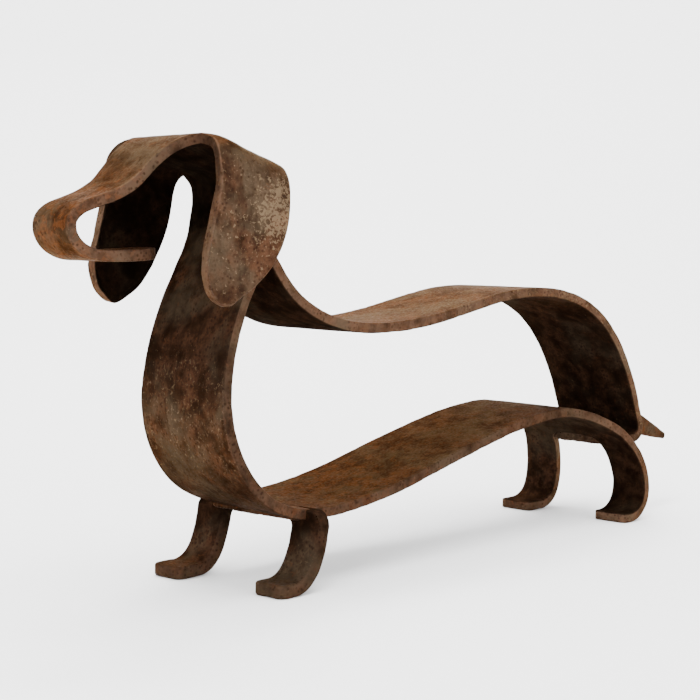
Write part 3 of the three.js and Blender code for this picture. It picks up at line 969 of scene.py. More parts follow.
@dataclass(frozen=True)
class BodyStainsAndShade:
    """Where the long plate gets painted shade, pale crust and orange rust: spans of a coordinate, and
    strengths.
    """

    # Painted shade: the spans and strengths from here down to chest_rim.
    throat: Span = (86.0, 172.0)
    face_up: Span = (0.1, 0.6)
    chest_end: Span = (112.0, 150.0)
    breast_height: Span = (50.0, 96.0)
    breast: float = 0.56
    breast_fade: float = 0.3
    underside_top: Span = (86.0, 110.0)
    underside: float = 0.8
    hind_legs: Span = (400.0, 440.0)
    near_hind: float = 0.12
    far_hind: float = -0.08
    middle: Span = (-10.0, 10.0)
    nape_height: Span = (60.0, 80.0)
    nape_front: Span = (70.0, 84.0)
    nape_rear: Span = (130.0, 150.0)
    nape_side: Span = (42.0, 46.0)
    nape_down: Span = (-0.2, 0.5)
    nape: float = 0.5
    # Painted shadow of the back bar on the belly's upper face.
    belly_front: Span = (110.0, 150.0)
    belly_rear: Span = (400.0, 430.0)
    belly: float = 0.4
    crown_height: Span = (232.0, 242.0)
    crown_ahead: Span = (0.2, 0.7)
    crown_rim: float = 0.6
    chest_rear: Span = (130.0, 150.0)
    chest_low: Span = (48.0, 60.0)
    chest_high: Span = (120.0, 165.0)
    chest_rim: float = 0.45
    ear_side: Span = (44.0, 50.0)
    ear_height: Span = (150.0, 165.0)
    ear: float = 0.24
    crust_front: Span = (82.0, 100.0)
    crust_low: Span = (188.0, 204.0)
    crust_high: Span = (228.0, 240.0)
    crust: float = 0.5
    flaking_rear: Span = (112.0, 130.0)
    flaking_low: Span = (52.0, 80.0)
    flaking_high: Span = (128.0, 150.0)
    flaking: float = 0.3
    flakes_everywhere: float = 0.12
    cloud_size: float = 9.0
    cloud_low: float = 0.5
    cloud_gain: float = 0.9
    cloud_seed: int = 5
    orange_front: Span = (120.0, 135.0)
    orange_rear: Span = (190.0, 300.0)
    orange_top: Span = (80.0, 90.0)
    orange: float = 0.5
    muzzle_low: Span = (180.0, 190.0)
    muzzle_rear: Span = (24.0, 50.0)
    muzzle: float = 0.4
    orange_everywhere: float = 0.26
    orange_off_ear: float = 0.2

    def shelter(self, skin: Surface) -> Array:
        """Painted shade: darkening painted where shade falls on the long plate.

        It is full on the head's inner faces and the front of the neck, and strong on the belly's
        underside, more on the near side under the hind legs and less on the far side. It is weaker
        on the breast, the nape, the belly's upper face, where it is a painted shadow of the back
        bar, and the rims of the crown's front and of the chest.

        Args:
            skin: the plate's surface.

        Returns:
            One value from 0 to 1 for each point.
        """
        x, y, z = skin.points.T
        below, above = skin.below, 1.0 - skin.below
        past_chest = ramp(x, *self.chest_end)
        hood = below * ramp(z, *self.throat) * (1.0 - ramp(skin.normals[:, 2], *self.face_up))
        breast = below * (self.breast - self.breast_fade * ramp(z, *self.breast_height)) * (1.0 - past_chest)
        by_side = self.near_hind + (self.far_hind - self.near_hind) * ramp(y, *self.middle)
        depth = self.underside + by_side * ramp(x, *self.hind_legs)
        underside = below * past_chest * (1.0 - ramp(z, *self.underside_top)) * depth
        nape = self.nape * above * ramp(z, *self.nape_height) * ramp(-skin.normals[:, 2], *self.nape_down)
        nape = nape * between(x, self.nape_front, self.nape_rear) * (1.0 - ramp(np.abs(y), *self.nape_side))
        belly = self.belly * above * between(x, self.belly_front, self.belly_rear)
        crown = self.crown_rim * skin.rim * ramp(z, *self.crown_height)
        crown = crown * ramp(-skin.normals[:, 0], *self.crown_ahead)
        chest = self.chest_rim * skin.rim * between(z, self.chest_low, self.chest_high)
        chest = chest * (1.0 - ramp(x, *self.chest_rear))
        return np.clip(hood + breast + underside + nape + belly + crown + chest, 0.0, 1.0)

    def on_ears(self, skin: Surface) -> Array:
        """Share of the outer faces of the ears."""
        _, y, z = skin.points.T
        return (1.0 - skin.below) * ramp(np.abs(y), *self.ear_side) * ramp(z, *self.ear_height)

    def patches(self, skin: Surface) -> Array:
        """Pale flaking: a crust on the rear of the ears, less on the chest, and a little everywhere.

        Args:
            skin: the plate's surface.

        Returns:
            One value from 0 to 1 for each point.
        """
        x, _, z = skin.points.T
        cloudy = self.cloud_low + self.cloud_gain * lumps(skin.points, self.cloud_size, self.cloud_seed)
        crust = ramp(x, *self.crust_front) * between(z, self.crust_low, self.crust_high)
        ears = self.on_ears(skin) * (self.ear + self.crust * crust)
        chest = skin.below * (1.0 - ramp(x, *self.flaking_rear))
        chest = chest * self.flaking * between(z, self.flaking_low, self.flaking_high)
        return np.clip((ears + chest) * cloudy + self.flakes_everywhere, 0.0, 1.0)

    def warmth(self, skin: Surface) -> Array:
        """Orange rust: strong on the front of the belly, weaker on the muzzle, least on the ears.

        Args:
            skin: the plate's surface.

        Returns:
            One value from 0 to 1 for each point.
        """
        x, _, z = skin.points.T
        above = 1.0 - skin.below
        belly = self.orange * between(x, self.orange_front, self.orange_rear)
        belly = belly * (1.0 - ramp(z, *self.orange_top))
        muzzle = self.muzzle * ramp(z, *self.muzzle_low) * (1.0 - ramp(x, *self.muzzle_rear))
        total = self.orange_everywhere + above * (belly + muzzle) - self.orange_off_ear * self.on_ears(skin)
        return np.clip(total, 0.0, 1.0)

    def marks(self, skin: Surface) -> dict[Mark, Array]:
        """All three marks of the plate's surface."""
        return {Mark.SHELTER: self.shelter(skin), Mark.PATCH: self.patches(skin),
                Mark.WARM: self.warmth(skin)}


@dataclass
class BodyPlate:
    """The long plate: jaw, nose, muzzle, crown with both ears, neck, chest, belly, hips, hind legs."""

    jaw_round: float = 18.0
    notch_half: float = 9.0
    notch_wide: float = 20.0
    notch_corner: float = 9.0
    hind_inner: float = 24.5
    near_toe: float = 8.0
    far_toe: float = 14.5
    toe_round: float = 5.0
    rim_round: float = 0.95
    stains: BodyStainsAndShade = BodyStainsAndShade()
    hind_skew: float = 0.08
    skew_run: float = 85.0
    cell: float = 1.45
    margin: float = 1.3
    side_cells: int = 22
    middle_cells: int = 11
    jaw: Array = field(default_factory=lambda: stations(
        (62.4, 193.1, NOSE_HALF), (46.4, 192.3, NOSE_HALF), (28.4, 191.9, NOSE_HALF),
        (15.8, 193.1, NOSE_HALF), (7.1, 197.3, NOSE_HALF), (2.4, 204.0, NOSE_HALF),
        (2.6, 211.0, NOSE_HALF), (7.6, 216.2, NOSE_HALF)))
    muzzle: Array = field(default_factory=lambda: stations(
        (16.6, 219.8, NOSE_HALF), (28.0, 223.6, NOSE_HALF + 1.6), (38.4, 229.2, NOSE_HALF + 2.9),
        (46.7, 236.5, NOSE_HALF + 3.8), (54.9, 244.5, NOSE_HALF + 5.5), (64.2, 250.6, NOSE_HALF + 8.0)))
    crown: Array = field(default_factory=lambda: stations(
        (73.9, 254.1, BROW_HALF), (82.4, 252.2, BAR_HALF), (90.4, 248.4, BAR_HALF),
        (98.4, 245.5, BAR_HALF), (106.4, 242.8, BAR_HALF)))
    neck: Array = field(default_factory=lambda: stations(
        (115.8, 238.9, BAR_HALF), (121.8, 231.8, BAR_HALF), (123.2, 221.6, BAR_HALF),
        (121.3, 211.0, BAR_HALF), (118.2, 200.7, BAR_HALF - 1.0), (108.4, 182.0, BAR_HALF - 1.6),
        (98.1, 162.0, BAR_HALF - 1.6)))
    chest: Array = field(default_factory=lambda: stations(
        (88.9, 135.5, BAR_HALF - 1.0), (85.6, 107.0, BAR_HALF + 0.5), (91.7, 81.0, BAR_HALF + 2.0),
        (107.5, 58.8, BAR_HALF + 2.5), (131.4, 45.4, BAR_HALF + 1.5)))
    belly: Array = field(default_factory=lambda: stations(
        (164.4, 42.4, BAR_HALF), (212.4, 48.5, BAR_HALF), (272.4, 63.5, BAR_HALF),
        (332.4, 77.1, BAR_HALF), (374.4, 81.4, BAR_HALF)))
    hip: Array = field(default_factory=lambda: stations(
        (391.4, 79.7, BAR_HALF), (408.4, 75.3, BAR_HALF + 0.11 * HIP_FLARE),
        (421.9, 69.5, BAR_HALF + 0.26 * HIP_FLARE), (430.6, 64.5, BAR_HALF + 0.4 * HIP_FLARE),
        (436.2, 59.9, BAR_HALF + 0.5 * HIP_FLARE)))
    hind_leg: Array = field(default_factory=lambda: stations(
        (444.7, 49.2, BAR_HALF + 0.7 * HIP_FLARE), (449.2, 38.5, BAR_HALF + 0.85 * HIP_FLARE),
        (451.2, 27.3, BAR_HALF + 0.95 * HIP_FLARE), (450.3, 17.3, BAR_HALF + HIP_FLARE),
        (446.5, 9.6, BAR_HALF + HIP_FLARE), (440.0, 4.9, BAR_HALF + HIP_FLARE),
        (433.0, PLATE / 2.0, BAR_HALF + HIP_FLARE), (424.9, PLATE / 2.0, BAR_HALF + HIP_FLARE)))

    def __post_init__(self) -> None:
        """Works out the profile and its stretches."""
        parts = [self.jaw, self.muzzle, self.crown, self.neck, self.chest, self.belly, self.hip,
                 self.hind_leg]
        counts = np.cumsum([0, *(len(part) for part in parts)])
        last = counts[-1] - 1
        curve = Curve(np.concatenate(parts))
        self.face = Path.along(curve, 0.0, counts[2] / last)
        self.top = Path.along(curve, counts[2] / last, counts[3] / last)
        self.trunk = Path.along(curve, counts[3] / last, counts[6] / last)
        self.haunch = Path.along(curve, counts[6] / last, (counts[7] - 1) / last)
        self.shin = Path.along(curve, (counts[7] - 1) / last, (last - 1) / last)
        self.shin.half = np.minimum(self.shin.half, BAR_HALF + HIP_FLARE)
        self.haunch.skew = self.skewed(self.haunch.distance)
        self.shin.skew = self.skewed(self.haunch.length + self.shin.distance)

    def skewed(self, distance: Array) -> Array:
        """Skew at distances from the hips' start: a smooth step up over the skew run."""
        return self.hind_skew * ramp(distance, 0.0, self.skew_run)

    def strip(self, path: Path, along: Array) -> Array:
        """Grid of y across the full width of a path, with columns along the later notch.

        Args:
            path: the stretch of the plate.
            along: distances along it, one for each row.

        Returns:
            Values of y, shape (rows, columns).
        """
        half = path.width(along)
        notch = half * self.notch_half / float(self.haunch.half[-1])
        outer = columns(notch, half, self.side_cells, self.margin)
        share = np.linspace(-1.0, 1.0, self.middle_cells + 1)[1:-1]
        return np.concatenate([-outer[:, ::-1], notch[:, None] * share, outer], axis=1)

    def head_grid(self) -> Array:
        """Jaw, nose and muzzle, with the jaw's free end rounded to half an ellipse.

        Returns:
            Points, shape (rows, columns, 3).
        """
        along = even(0.0, self.face.length, self.cell)
        across = self.strip(self.face, along)
        half = self.face.width(along)[:, None]
        spread = np.broadcast_to(along[:, None], across.shape)
        side, end = round_corner(half - np.abs(across), spread, half, self.jaw_round)
        return self.face.place(end, np.sign(across) * (half - side))

    def plain_grid(self, path: Path) -> Array:
        """Full-width stretch of the plate: its strip laid along the path.

        Args:
            path: the stretch.

        Returns:
            Points, shape (rows, columns, 3).
        """
        along = even(0.0, path.length, self.cell)
        across = self.strip(path, along)
        return path.place(np.broadcast_to(along[:, None], across.shape), across)

    def leg_grid(self, side: int, toe: float) -> Array:
        """One hind leg from the top of the notch to its rounded toe.

        The inner edge is a quarter round below the notch's flat top, then a sine that eases out to
        the ankle.

        Args:
            side: -1 for the near leg, 1 for the far one.
            toe: length of the level toe.

        Returns:
            Points, shape (rows, columns, 3).
        """
        path = self.shin.extended(toe)
        down = quarter_stops(self.notch_corner)
        along = np.concatenate([down, even(down[-1], path.length, self.cell)[1:]])
        opening = (self.notch_wide - self.notch_half) * quarter(along, self.notch_corner)
        eased = np.clip(2.0 * (along - self.notch_corner) / path.length, 0.0, 1.0)
        widening = (self.hind_inner - self.notch_wide) * np.sin(eased * math.pi / 2.0)
        inner = self.notch_half + opening + widening
        outer = path.width(along)
        across = columns(inner, outer, self.side_cells, self.margin)
        spread = np.broadcast_to(along[:, None], across.shape)
        spread, across = rounded_ends(spread, across, inner, outer, path.length, self.toe_round)
        grid = path.place(spread, side * across)
        return grid if side > 0 else grid[:, ::-1]

    def sheet(self, ears: list["Ear"]) -> Sheet:
        """Middle sheet of the whole plate: its stretches in order, both hind legs and the ears.

        Args:
            ears: the ears that hang from the crown.

        Returns:
            The sheet.
        """
        made = Sheet(PLATE, self.rim_round)
        made.add(self.head_grid())
        for path in (self.top, self.trunk, self.haunch):
            made.add(self.plain_grid(path))
        made.add(self.leg_grid(-1, self.near_toe))
        made.add(self.leg_grid(1, self.far_toe))
        along = even(0.0, self.top.length, self.cell)
        root = self.top.place(along, self.top.width(along))
        for ear in ears:
            made.add(ear.grid(root), flip=ear.side > 0)
        return made

    def fields(self, skin: Surface) -> dict[Mark, Array]:
        """Marks of the long plate."""
        return self.stains.marks(skin)


@dataclass
class Ear:
    """A drooping ear: a lobe of the long plate folded down from the crown."""

    side: int
    fold_front: float
    fold_rear: float
    swell: float
    forward: float
    lowest: float
    front_out: float = 13.2
    rear_out: float = 16.2
    lowest_x: float = 73.4
    bulge_fade: float = 6.0
    swell_drops: Span = (50.0, 70.0)
    cell: float = 1.5
    samples: int = 400
    front_edge: Array = field(default_factory=lambda: np.array([
        (74.6, 2.5), (72.6, 8.0), (70.6, 15.0), (69.6, 24.0), (67.0, 34.0), (63.2, 48.5), (60.0, 60.5),
        (59.3, 71.0), (62.0, 81.5), (67.0, 87.2)]))
    rear_edge: Array = field(default_factory=lambda: np.array([
        (115.8, 2.0), (115.0, 6.0), (114.8, 12.0), (114.8, 20.0), (113.8, 28.5), (110.8, 38.5),
        (105.6, 48.0), (98.4, 56.5), (89.4, 64.5), (81.2, 69.8)]))

    def edge(self, root: Array, outline: Array, out: float, fold: float, swell: float) -> Array:
        """Stations of one edge, from its root on the crown out over the fold to the lowest point.

        Its y runs out over a quarter round as long as the fold. Its x moves back by the swell, which
        grows by a smooth step between two drops.

        Args:
            root: point of the crown where the edge starts.
            outline: x and drop below the root of each station.
            out: how far the edge stands out from the bar.
            fold: height of the fold.
            swell: how far the lower part moves back.

        Returns:
            The stations, with the ear's lowest point last.
        """
        half = BAR_HALF + out
        drop = outline[:, 1]
        folded = quarter(drop, fold)
        x = outline[:, 0] + swell * ramp(drop, *self.swell_drops) - self.forward * folded
        points = np.stack([x, root[1] + (half - root[1]) * folded, root[2] - drop], axis=-1)
        middle = BAR_HALF + (self.front_out + self.rear_out) / 2.0
        end = np.array([[self.lowest_x - self.forward, middle, self.lowest]])
        return np.concatenate([root[None], points, end])

    @staticmethod
    def down_edge(edge: Array, other: Array, down: Array) -> Array:
        """Points at shares of the way down an edge, which runs on smoothly into the other edge."""
        curve = Curve(np.concatenate([edge, other[-2:-1]]))
        return curve.at(down.ravel() * (1.0 - 1.0 / len(edge))).reshape(*down.shape, 3)

    def grid(self, root: Array) -> Array:
        """Grid of the ear below its root.

        The surface joins the two edges by straight lines, plus the root's own bulge, which fades out
        downwards. A square grid is laid on it as on the lower half of a disc, so that its rows end
        evenly on the rounded tip.

        Args:
            root: the row of points where the ear leaves the crown.

        Returns:
            Points, shape (rows, columns, 3), on the ear's own side.
        """
        front = self.edge(root[0], self.front_edge, self.front_out, self.fold_front, 0.0)
        rear = self.edge(root[-1], self.rear_edge, self.rear_out, self.fold_rear, self.swell)
        steps = np.linspace(0.0, 1.0, self.samples)
        edges = ((front, rear), (rear, front))
        height = sum(self.down_edge(one, other, steps)[:, 2] for one, other in edges) / 2.0
        dropped = np.maximum.accumulate((height[0] - height) / (height[0] - height[-1]))
        s = np.linspace(-1.0, 1.0, len(root))
        t = even(0.0, 1.0, self.cell / float(height[0] - height[-1]))[:, None]
        level = t * np.sqrt(1.0 - s * s / 2.0)
        breadth = np.sqrt(np.maximum(1.0 - level * level, TINY))
        across = np.clip(0.5 + 0.5 * s * np.sqrt(1.0 - t * t / 2.0) / breadth, 0.0, 1.0)
        down = np.interp(level, dropped, steps)
        ends = [self.down_edge(one, other, down) for one, other in edges]
        share = across[..., None]
        places = np.linspace(0.0, 1.0, len(root))
        bulge = root - (root[0] + (root[-1] - root[0]) * places[:, None])
        lifted = np.stack([np.interp(across, places, bulge[:, k]) for k in range(3)], axis=-1)
        grid = ends[0] + (ends[1] - ends[0]) * share + lifted * ((1.0 - down) ** self.bulge_fade)[..., None]
        grid[0] = root
        return grid * np.array([1.0, self.side, 1.0])


@dataclass
class BackBar:
    """The second bar: from the back of the neck over the withers, back and rump to the hips."""

    half: float = 36.0
    cell: float = 1.45
    margin: float = 1.3
    rim_round: float = 0.95
    end_x: float = 439.3
    end_run: float = 16.0
    rump_front: Span = (330.0, 440.0)
    neck_rear: Span = (170.0, 230.0)
    back_front: Span = (230.0, 330.0)
    curl_height: Span = (57.0, 62.0)
    # Painted shade on the underside, deeper at the neck and in the rump, and on the upper face low in the
    # curl.
    underside: float = 0.62
    deep_inside_shade: float = 0.26
    curl_shade: float = 0.6
    pale: float = 0.2
    back_dust_and_sheen: float = 0.25
    orange: float = 0.3
    profile: Array = field(default_factory=lambda: np.array([
        (116.0, 195.0), (122.9, 185.5), (129.0, 177.1), (137.4, 168.3), (146.9, 161.4), (158.9, 155.4),
        (173.4, 150.6), (190.4, 147.7), (212.4, 147.0), (236.4, 148.3), (262.4, 151.9), (290.4, 157.3),
        (318.4, 162.2), (345.4, 163.9), (369.4, 162.7), (391.0, 158.1), (409.4, 150.5), (425.4, 139.5),
        (439.2, 124.9), (450.2, 108.1), (458.4, 91.1), (463.2, 77.5), (467.0, 66.0), (466.9, 60.0),
        (462.3, 56.6), (455.0, 56.0), (434.0, 56.0)]))

    def __post_init__(self) -> None:
        """Works out the bar's path."""
        widths = np.full(len(self.profile), self.half)
        points = np.stack([self.profile[:, 0], widths, self.profile[:, 1]], axis=-1)
        self.path = Path.along(Curve(points), 0.0, 1.0)

    def sheet(self, hip_skew: float) -> Sheet:
        """Middle sheet of the bar, its lower end slanted as the hips are.

        Args:
            hip_skew: how far the hips' line runs forward for each unit of y.

        Returns:
            The sheet.
        """
        length = self.path.length - (self.end_x - float(self.path.x[-1]))
        along = even(0.0, length, self.cell)
        half = self.path.width(along)
        cells = round(2.0 * self.half / self.cell)
        across = columns(-half, half, cells, self.margin)
        grid = self.path.place(np.broadcast_to(along[:, None], across.shape), across)
        slant = ramp(along, length - self.end_run, length)[:, None]
        grid[..., 0] -= hip_skew * across * slant
        made = Sheet(PLATE, self.rim_round)
        made.add(grid)
        return made

    def fields(self, skin: Surface) -> dict[Mark, Array]:
        """Marks of the back bar: painted shade on its underside, deepest at the neck and in the rump, and on
        its upper face low in the rump's curl.

        Args:
            skin: the bar's surface.

        Returns:
            Painted shade, pale patches and orange rust.
        """
        x, _, z = skin.points.T
        deep = np.maximum(ramp(x, *self.rump_front), 1.0 - ramp(x, *self.neck_rear))
        shelter = skin.below * (self.underside + self.deep_inside_shade * deep)
        curl_shade = self.curl_shade * (1.0 - skin.below) * (1.0 - ramp(z, *self.curl_height))
        # Pale patches all over, plus pale dust and a painted sheen on the back's upper face.
        patch = self.pale + self.back_dust_and_sheen * (1.0 - skin.below) * ramp(x, *self.back_front)
        warm = np.full(len(x), self.orange)
        return {Mark.SHELTER: np.clip(shelter + curl_shade, 0.0, 1.0), Mark.PATCH: patch, Mark.WARM: warm}


@dataclass
class FrontLegs:
    """The front leg plate: rounded shoulders, a thin cross piece and two legs with toes."""

    outer: float = 50.5
    inner: float = 27.0
    near_toe: float = 12.5
    far_toe: float = 17.0
    shoulder_round: float = 9.0
    crotch_round: float = 5.0
    cross_depth: float = PLATE + 0.8
    crotch_rows: int = 6
    toe_round: float = 5.0
    skew: float = 0.11
    rim_round: float = 1.7
    cell: float = 1.4
    margin: float = 2.45
    side_cells: int = 19
    middle_cells: int = 32
    shin_height: Span = (6.0, 40.0)
    inside: Span = (22.0, 38.0)
    # Painted shade: over the whole leg, and more up the shins and on the inner sides.
    leg_shade: float = 0.54
    shin_shade: float = 0.3
    inside_shade: float = 0.16
    pale_toe: float = 0.3
    orange_toe: float = 0.4
    orange_fade: float = 0.2
    profile: Array = field(default_factory=lambda: np.array([
        (140.9, 46.0), (140.9, 41.5), (140.4, 35.5), (138.7, 28.0), (135.9, 19.2), (131.8, 11.6),
        (126.4, 6.4), (119.6, LEG_PLATE / 2.0), (109.9, LEG_PLATE / 2.0)]))

    def __post_init__(self) -> None:
        """Works out the legs' path."""
        widths = np.full(len(self.profile), self.outer)
        points = np.stack([self.profile[:, 0], widths, self.profile[:, 1]], axis=-1)
        last = len(points) - 1
        self.path = Path.along(Curve(points), 0.0, (last - 1) / last)
        self.path.skew = np.full(len(self.path.x), self.skew)

    def shoulder_grid(self) -> Array:
        """Cross piece and shoulders, the upper corners rounded.

        Returns:
            Points, shape (rows, columns, 3).
        """
        along = even(0.0, self.cross_depth, self.cell)
        narrow = np.full(len(along), self.inner - self.crotch_round)
        wide = columns(narrow, np.full(len(along), self.outer), self.side_cells, self.margin)
        share = np.linspace(-1.0, 1.0, self.middle_cells + 1)[1:-1]
        across = np.concatenate([-wide[:, ::-1], narrow[:, None] * share, wide], axis=1)
        return self.path.place(*self.shouldered(along, across))

    def shouldered(self, along: Array, across: Array) -> tuple[Array, Array]:
        """Rounds the shoulders' upper corners.

        Args:
            along: distance along the plate of each row.
            across: y of each point, shape (rows, columns).

        Returns:
            New distances along and across, both of that shape.
        """
        spread = np.broadcast_to(along[:, None], across.shape)
        radius = self.shoulder_round
        side, top = round_corner(self.outer - np.abs(across), spread, radius, radius)
        return top, np.sign(across) * (self.outer - side)

    def leg_grid(self, side: int, toe: float) -> Array:
        """One leg from the cross piece's lower edge to its rounded toe.

        Args:
            side: -1 for the near leg, 1 for the far one.
            toe: length of the level toe.

        Returns:
            Points, shape (rows, columns, 3).
        """
        path = self.path.extended(toe)
        down = self.cross_depth + quarter_stops(self.crotch_round, self.crotch_rows)
        shin = even(down[-1], path.length - self.margin, self.cell)[1:]
        along = np.concatenate([down, shin, [path.length]])
        narrow = self.inner - self.crotch_round
        inner = narrow + self.crotch_round * quarter(along - self.cross_depth, self.crotch_round)
        outer = np.full(len(along), self.outer)
        top, across = self.shouldered(along, columns(inner, outer, self.side_cells, self.margin))
        spread, across = rounded_ends(top, across, inner, outer, path.length, self.toe_round)
        grid = path.place(spread, side * across)
        return grid if side > 0 else grid[:, ::-1]

    def sheet(self) -> Sheet:
        """Middle sheet of the plate.

        Returns:
            The sheet, with the shoulders and both legs.
        """
        made = Sheet(LEG_PLATE, self.rim_round)
        made.add(self.shoulder_grid())
        made.add(self.leg_grid(-1, self.near_toe))
        made.add(self.leg_grid(1, self.far_toe))
        return made

    def fields(self, skin: Surface) -> dict[Mark, Array]:
        """Marks of the front legs: painted shade all over, deeper up the shins and on their inner sides under
        the chest; pale rubbed patches and orange towards the toes.

        Args:
            skin: the plate's surface.

        Returns:
            Shelter, pale patches and orange rust.
        """
        _, y, z = skin.points.T
        high = ramp(z, *self.shin_height)
        inside = 1.0 - ramp(np.abs(y), *self.inside)
        shelter = np.clip(self.leg_shade + high * (self.shin_shade + self.inside_shade * inside), 0.0, 1.0)
        warm = self.orange_toe - self.orange_fade * high
        return {Mark.SHELTER: shelter, Mark.PATCH: self.pale_toe * (1.0 - high), Mark.WARM: warm}


@dataclass
class Tail:
    """A tapered upright plate on the back of the rump."""

    plate: float = 7.0
    rim_round: float = 1.0
    tip_round: float = 2.5
    top_root: Spot = (458.3, 88.5)
    foot_root: Spot = (466.6, 65.0)
    tip: Spot = (542.6, 46.6)
    top_bow: Spot = (0.459, 7.2)
    foot_bow: Spot = (0.545, -5.0)
    length: float = 80.0
    cell: float = 1.2
    across: int = 19
    cap_steps: Span = (0.5, 1.0)
    root_run: Span = (466.0, 480.0)
    # Painted shade over the whole tail, deeper at the root.
    dark: float = 0.3
    root_shade: float = 0.25
    pale: float = 0.1
    orange: float = 0.55

    def edges(self) -> tuple[Array, Array, Array]:
        """Upper edge, lower edge and the tip's arc, as points (x, z).

        Each edge is a quadratic curve from its root to the end of the tip's arc. It bends towards a
        point at a share of the way to the tip and a rise from the straight line there.

        Returns:
            The two edges from the root backwards, and the arc from the upper to the lower one.
        """
        tip = np.array(self.tip)
        roots = [np.array(self.top_root), np.array(self.foot_root)]
        bows = (self.top_bow, self.foot_bow)
        bends = [root + share * (tip - root) + [0.0, rise] for root, (share, rise) in zip(roots, bows)]
        angles = [math.atan2(*(tip - bend)[::-1]) for bend in bends]
        turn = np.linspace(angles[0] + math.pi / 2.0, angles[1] - math.pi / 2.0, self.across)
        arc = tip + self.tip_round * np.stack([np.cos(turn), np.sin(turn)], axis=-1)
        share = even(0.0, 1.0, self.cell / self.length)[:, None]
        curves = []
        for root, bend, end in zip(roots, bends, (arc[0], arc[-1])):
            start = (1.0 - share) ** 2 * root
            curves.append(start + 2.0 * share * (1.0 - share) * bend + share ** 2 * end)
        return curves[0], curves[1], arc

    def sheet(self) -> Sheet:
        """Middle sheet: straight lines between the edges, then lines that swell to the tip's arc.

        Returns:
            The sheet, upright at y = 0.
        """
        top, foot, arc = self.edges()
        share = np.linspace(0.0, 1.0, self.across)[None, :, None]
        blade = top[:, None] + (foot - top)[:, None] * share
        cap = blade[-1] + (arc - blade[-1]) * np.array(self.cap_steps)[:, None, None]
        flat = np.concatenate([blade, cap])
        made = Sheet(self.plate, self.rim_round)
        made.add(np.stack([flat[..., 0], np.zeros(flat.shape[:2]), flat[..., 1]], axis=-1))
        return made

    def fields(self, skin: Surface) -> dict[Mark, Array]:
        """Marks of the tail: red-brown, with painted shade all over that deepens at the root.

        Args:
            skin: the tail's surface.

        Returns:
            Shelter, pale patches and orange rust.
        """
        x = skin.points[:, 0]
        shelter = self.dark + self.root_shade * (1.0 - ramp(x, *self.root_run))
        return {Mark.SHELTER: shelter, Mark.PATCH: np.full(len(x), self.pale),
                Mark.WARM: np.full(len(x), self.orange)}


@dataclass
class Weld:
    """Weld beads: lumpy round ridges laid along the joints of the plates."""

    radius: float = 2.1
    ripple: float = 2.6
    ripple_depth: float = 0.18
    lump_size: float = 4.0
    lump_range: Span = (0.8, 1.2)
    end_run: float = 1.6
    end_size: float = 0.03
    lean: Place = (0.31, 0.22, 0.93)
    around: int = 14
    step: float = 0.7
    seed: int = 31
    from_border: float = 20.0
    dark: float = 0.35
    pale: float = 0.15
    orange: float = 0.4

    def bead(self, line: Array) -> tuple[Array, Array]:
        """One bead along a line.

        Its section is a circle. The radius rises and falls with the distance, once for each drop of
        the weld, with random lumps, and closes over both ends as half an ellipse.

        Args:
            line: points of the joint in millimetres, shape (n, 3).

        Returns:
            Points and quads of the closed bead.
        """
        lengths = np.linalg.norm(np.diff(line, axis=0), axis=1)
        along = np.concatenate([[0.0], np.cumsum(lengths)])
        places = even(0.0, along[-1], self.step)
        centre = np.stack([np.interp(places, along, line[:, k]) for k in range(3)], axis=-1)
        direction = np.gradient(centre, axis=0)
        direction /= np.linalg.norm(direction, axis=1)[:, None]
        level = np.cross(direction, self.lean)
        level /= np.linalg.norm(level, axis=1)[:, None]
        upright = np.cross(level, direction)
        drops = 1.0 - self.ripple_depth * (1.0 - np.abs(np.cos(math.pi * places / self.ripple)))
        low, high = self.lump_range
        lumpy = low + (high - low) * lumps(centre, self.lump_size, self.seed)
        near_end = np.minimum(places, along[-1] - places) / (self.end_run * self.radius)
        closing = quarter(near_end, 1.0) * (1.0 - self.end_size) + self.end_size
        radius = self.radius * drops * lumpy * closing
        turn = np.arange(self.around) * 2.0 * math.pi / self.around
        out = level[:, None] * np.cos(turn)[:, None] + upright[:, None] * np.sin(turn)[:, None]
        points = (centre[:, None] + radius[:, None, None] * out).reshape(-1, 3)
        ids = np.arange(len(points)).reshape(len(places), self.around)
        after = np.roll(ids, -1, axis=1)
        walls = np.stack([ids[:-1], after[:-1], after[1:], ids[1:]], axis=-1).reshape(-1, 4)
        return points, np.concatenate([walls, self.cap(ids[0])[:, ::-1], self.cap(ids[-1])])

    def cap(self, ring: Array) -> Array:
        """Strip of quads across a ring, given as vertex numbers."""
        k = np.arange(self.around // 2 - 1)
        return np.stack([ring[k], ring[k + 1], ring[self.around - 2 - k], ring[self.around - 1 - k]], axis=-1)

    def surface(self, lines: list[Array]) -> tuple[Surface, Array]:
        """Surface and quads of several beads.

        Args:
            lines: one line of points for each bead.

        Returns:
            The beads' surface, counted as far from any border, and its quads.
        """
        beads = [self.bead(line) for line in lines]
        firsts = np.cumsum([0, *(len(points) for points, _ in beads[:-1])])
        joined = np.concatenate([points for points, _ in beads])
        quads = np.concatenate([faces + first for (_, faces), first in zip(beads, firsts)])
        count = len(joined)
        far = np.full(count, self.from_border)
        return Surface(joined, vertex_normals(joined, quads), np.ones(count), far), quads

    def fields(self, skin: Surface) -> dict[Mark, Array]:
        """Marks of the welds: dark scale all over."""
        values = {Mark.SHELTER: self.dark, Mark.PATCH: self.pale, Mark.WARM: self.orange}
        return {mark: np.full(len(skin.points), value) for mark, value in values.items()}


def meeting(first: Array, second: Array) -> Array:
    """Place where two side-view lines come closest: halfway between their nearest points.

    Args:
        first: points (x, z) of one line.
        second: points (x, z) of the other.

    Returns:
        The point (x, z).
    """
    apart = ((first[:, None] - second[None]) ** 2).sum(axis=2)
    i, j = np.unravel_index(np.argmin(apart), apart.shape)
    return (first[i] + second[j]) / 2.0


def cross_line(place: Array, half: float, skew: float, count: int = 40) -> Array:
    """Straight line across the figure through a point (x, z), slanted by a skew."""
    y = np.linspace(-half, half, count)
    return np.stack([place[0] - skew * y, y, np.full(count, place[1])], axis=-1)


